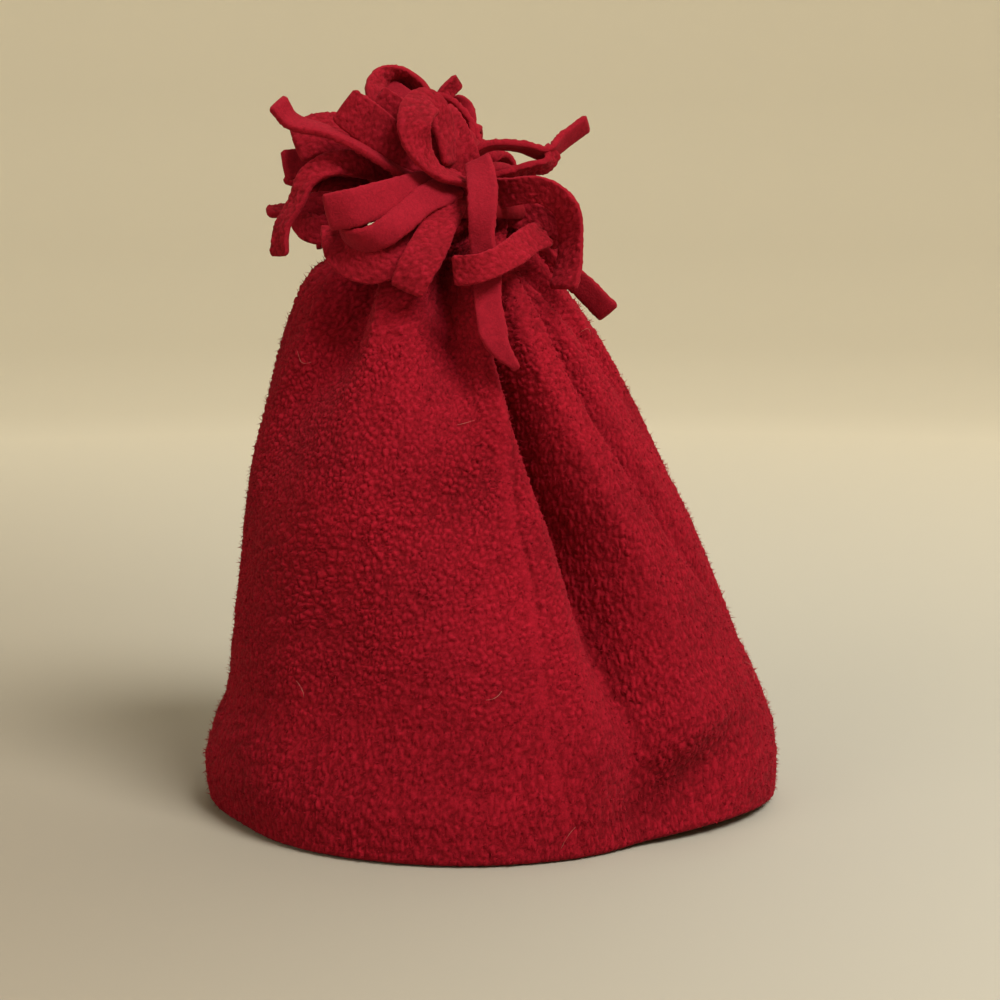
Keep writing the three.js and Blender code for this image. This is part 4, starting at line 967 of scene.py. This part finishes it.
def fleece(name, tip, mid, gap_shade, bump=0.5, smooth_tone=None):
    """Curled polyester pile: painted shade in the gaps, painted highlight on the nubs, with fine curls as bump."""
    m, nt, bsdf = new_material(name)
    N, L = nt.nodes, nt.links
    nap = N.new("ShaderNodeAttribute"); nap.attribute_name = "nap"
    geo = N.new("ShaderNodeTexCoord")
    # ramp from the nap attribute: painted shade in the gaps, the pile's own colour between, painted highlight on the
    # nub tops
    ramp = N.new("ShaderNodeValToRGB")
    e = ramp.color_ramp.elements
    e[0].position, e[0].color = 0.05, gap_shade
    e[1].position, e[1].color = 0.98, tip
    k = e.new(0.50); k.color = mid
    L.new(nap.outputs["Fac"], ramp.inputs["Fac"])
    # broad unevenness of the dye and of how the pile lies
    broad = N.new("ShaderNodeTexNoise"); broad.inputs["Scale"].default_value = 38.0; broad.inputs["Detail"].default_value = 3.0
    L.new(geo.outputs["Object"], broad.inputs["Vector"])
    tone = N.new("ShaderNodeMapRange"); tone.inputs["From Min"].default_value = 0.3; tone.inputs["From Max"].default_value = 0.7
    tone.inputs["To Min"].default_value = 0.88; tone.inputs["To Max"].default_value = 1.12
    L.new(broad.outputs["Fac"], tone.inputs["Value"])
    # single curls
    curl = N.new("ShaderNodeTexNoise"); curl.inputs["Scale"].default_value = 900.0; curl.inputs["Detail"].default_value = 3.0
    curl.inputs["Distortion"].default_value = 1.6
    L.new(geo.outputs["Object"], curl.inputs["Vector"])
    ct = N.new("ShaderNodeMapRange"); ct.inputs["From Min"].default_value = 0.32; ct.inputs["From Max"].default_value = 0.68
    ct.inputs["To Min"].default_value = 0.84; ct.inputs["To Max"].default_value = 1.16
    L.new(curl.outputs["Fac"], ct.inputs["Value"])
    mul = N.new("ShaderNodeMath"); mul.operation = "MULTIPLY"
    L.new(tone.outputs["Result"], mul.inputs[0]); L.new(ct.outputs["Result"], mul.inputs[1])
    col = N.new("ShaderNodeVectorMath"); col.operation = "SCALE"
    base = ramp.outputs["Color"]
    if smooth_tone is not None:
        side = N.new("ShaderNodeAttribute"); side.attribute_name = "smooth_side"
        mix = N.new("ShaderNodeMix"); mix.data_type = "RGBA"
        L.new(side.outputs["Fac"], mix.inputs["Factor"])
        L.new(base, mix.inputs["A"]); mix.inputs["B"].default_value = smooth_tone
        base = mix.outputs["Result"]
    L.new(base, col.inputs[0]); L.new(mul.outputs["Value"], col.inputs["Scale"])
    L.new(col.outputs["Vector"], bsdf.inputs["Base Color"])
    b1 = N.new("ShaderNodeBump"); b1.inputs["Strength"].default_value = bump; b1.inputs["Distance"].default_value = 0.0005
    L.new(curl.outputs["Fac"], b1.inputs["Height"])
    L.new(b1.outputs["Normal"], bsdf.inputs["Normal"])
    bsdf.inputs["Roughness"].default_value = 0.86
    bsdf.inputs["Specular IOR Level"].default_value = 0.07
    bsdf.inputs["Sheen Weight"].default_value = 0.16
    bsdf.inputs["Sheen Roughness"].default_value = 0.45
    bsdf.inputs["Sheen Tint"].default_value = (0.80, 0.10, 0.13, 1.0)
    return m


# nub tops with painted highlight, the pile's own colour, gaps with painted shade
TIP_HIGHLIGHT = (0.300, 0.0066, 0.0180, 1)
MID = (0.245, 0.0048, 0.0130, 1)
DEEP_SHADE = (0.145, 0.0026, 0.0068, 1)
crown_mat = fleece("beanie_pile_fleece", TIP_HIGHLIGHT, MID, DEEP_SHADE, 0.55)
hem_mat = fleece("beanie_hem_fleece", TIP_HIGHLIGHT, MID, DEEP_SHADE, 0.5)
fringe_mat = fleece("beanie_fringe_fleece", (0.285, 0.0075, 0.0190, 1), (0.235, 0.0056, 0.0135, 1), (0.15, 0.0032, 0.0075, 1), 0.45, (0.24, 0.0070, 0.0165, 1))
tie_mat = fleece("beanie_tie_cloth", (0.30, 0.008, 0.016, 1), (0.22, 0.006, 0.012, 1), (0.10, 0.003, 0.006, 1), 0.35)

fib_mat, fnt, fb = new_material("beanie_stray_fibre")
tint = fnt.nodes.new("ShaderNodeTexNoise"); tint.inputs["Scale"].default_value = 60.0
fr = fnt.nodes.new("ShaderNodeValToRGB")
fr.color_ramp.elements[0].color, fr.color_ramp.elements[1].color = (0.36, 0.05, 0.05, 1), (0.50, 0.22, 0.17, 1)
fr.color_ramp.elements[0].position, fr.color_ramp.elements[1].position = 0.42, 0.66
fnt.links.new(tint.outputs["Fac"], fr.inputs["Fac"]); fnt.links.new(fr.outputs["Color"], fb.inputs["Base Color"])
fb.inputs["Roughness"].default_value = 0.6

for o in crown_pieces + [tips]:
    o.data.materials.append(crown_mat)
    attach(o, "root")
    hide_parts("crown")
hem_piece.data.materials.append(hem_mat)
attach(hem_piece, "root"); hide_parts("turned_hem")
tie_piece.data.materials.append(tie_mat)
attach(tie_piece, "root"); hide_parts("gather_tie")
for o in (fringe_front, fringe_rest):
    o.data.materials.append(fringe_mat)
    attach(o, "root"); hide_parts("fringe")
stray.data.materials.append(fib_mat)
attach(stray, "root")


# ---- stage: a pale floor that sweeps up all round ----
def bowl():
    rows = [(0.0, 0.0), (0.30, 0.0), (0.8, 0.0), (1.6, 0.0), (2.2, 0.05), (2.7, 0.2), (3.1, 0.5), (3.3, 1.0), (3.4, 2.0), (3.4, 4.0)]
    cols = 96
    verts, faces = [(0, 0, -0.0004)], []
    for r, z in rows[1:]:
        for k in range(cols):
            a = 2 * math.pi * k / cols
            verts.append((r * math.sin(a), -r * math.cos(a), z - 0.0004))
    for k in range(cols):
        faces.append((0, 1 + k, 1 + (k + 1) % cols))
    for i in range(len(rows) - 2):
        b = 1 + i * cols
        for k in range(cols):
            q = (k + 1) % cols
            faces.append((b + k, b + cols + k, b + cols + q, b + q))
    me = bpy.data.meshes.new("studio_floor")
    me.from_pydata(verts, [], faces)
    me.polygons.foreach_set("use_smooth", [True] * len(me.polygons))
    me.update()
    o = bpy.data.objects.new("studio_floor", me)
    bpy.context.scene.collection.objects.link(o)
    return o


# painted light and shade on the floor: darker to the left, lighter to the right, lighter still far away
FLOOR_LEFT_PAINTED_SHADE, FLOOR_RIGHT, FLOOR_FAR_PAINTED_LIGHT = (0.26, 0.218, 0.160, 1), (0.43, 0.410, 0.345, 1), (0.80, 0.735, 0.575, 1)
floor = bowl()
fm, fnt2, fb2 = new_material("studio_paper")
fco = fnt2.nodes.new("ShaderNodeTexCoord")
fsep = fnt2.nodes.new("ShaderNodeVectorMath"); fsep.operation = "LENGTH"
fnt2.links.new(fco.outputs["Object"], fsep.inputs[0])
fdist = fnt2.nodes.new("ShaderNodeMapRange")
fdist.inputs["From Min"].default_value, fdist.inputs["From Max"].default_value = 0.10, 1.3
fnt2.links.new(fsep.outputs["Value"], fdist.inputs["Value"])
faxis = fnt2.nodes.new("ShaderNodeVectorMath"); faxis.operation = "DOT_PRODUCT"
faxis.inputs[1].default_value = (1.0, 0.35, 0.0)
fnt2.links.new(fco.outputs["Object"], faxis.inputs[0])
fside = fnt2.nodes.new("ShaderNodeMapRange"); fside.interpolation_type = "SMOOTHSTEP"
fside.inputs["From Min"].default_value, fside.inputs["From Max"].default_value = -0.32, 0.16
fnt2.links.new(faxis.outputs["Value"], fside.inputs["Value"])
fnear = fnt2.nodes.new("ShaderNodeMix"); fnear.data_type = "RGBA"
fnear.inputs["A"].default_value, fnear.inputs["B"].default_value = FLOOR_LEFT_PAINTED_SHADE, FLOOR_RIGHT
fnt2.links.new(fside.outputs["Result"], fnear.inputs["Factor"])
fmr = fnt2.nodes.new("ShaderNodeMix"); fmr.data_type = "RGBA"
fmr.inputs["B"].default_value = FLOOR_FAR_PAINTED_LIGHT
fnt2.links.new(fdist.outputs["Result"], fmr.inputs["Factor"]); fnt2.links.new(fnear.outputs["Result"], fmr.inputs["A"])
fnt2.links.new(fmr.outputs["Result"], fb2.inputs["Base Color"])
fb2.inputs["Roughness"].default_value = 0.95
fb2.inputs["Specular IOR Level"].default_value = 0.1
floor.data.materials.append(fm)


def area(name, loc, target, size, power, color):
    l = bpy.data.lights.new(name, "AREA")
    l.shape, l.size, l.energy, l.color = "DISK", size, power, color
    o = bpy.data.objects.new(name, l)
    bpy.context.scene.collection.objects.link(o)
    o.location = loc
    d = np.array(target, float) - np.array(loc, float)
    yaw, pitch = math.atan2(d[1], d[0]), math.atan2(d[2], math.hypot(d[0], d[1]))
    o.rotation_euler = (pitch + math.pi / 2, 0, yaw - math.pi / 2)
    return o


area("key", (0.85, -0.95, 1.65), (0, 0, 0.1), 0.9, 46, (1.0, 0.975, 0.93))
area("fill", (-1.3, -1.3, 0.9), (0, 0, 0.1), 1.2, 7, (1.0, 0.93, 0.82))
area("room", (0.3, 0.9, 2.6), (0, 1.2, 0.0), 2.2, 24, (1.0, 0.955, 0.86))
world = bpy.data.worlds.new("studio")
world.use_nodes = True
world.node_tree.nodes["Background"].inputs["Color"].default_value = (0.95, 0.86, 0.72, 1)
world.node_tree.nodes["Background"].inputs["Strength"].default_value = 0.16
bpy.context.scene.world = world
bpy.context.scene.view_settings.view_transform = "Standard"

cam = bpy.data.cameras.new("camera")
cam.lens, cam.sensor_width, cam.clip_start = 64.8, 36.0, 0.01
cam_o = bpy.data.objects.new("camera", cam)
bpy.context.scene.collection.objects.link(cam_o)
cam_o.location = (0.002838, -0.583262, 0.174458)
cam_o.rotation_euler = (math.pi / 2 - math.radians(7.5), 0, 0)
bpy.context.scene.camera = cam_o

print("triangles", {o.name: sum(len(p.vertices) - 2 for p in o.data.polygons) for o in crown_pieces + [hem_piece, tie_piece, fringe_front, fringe_rest, stray, tips]})
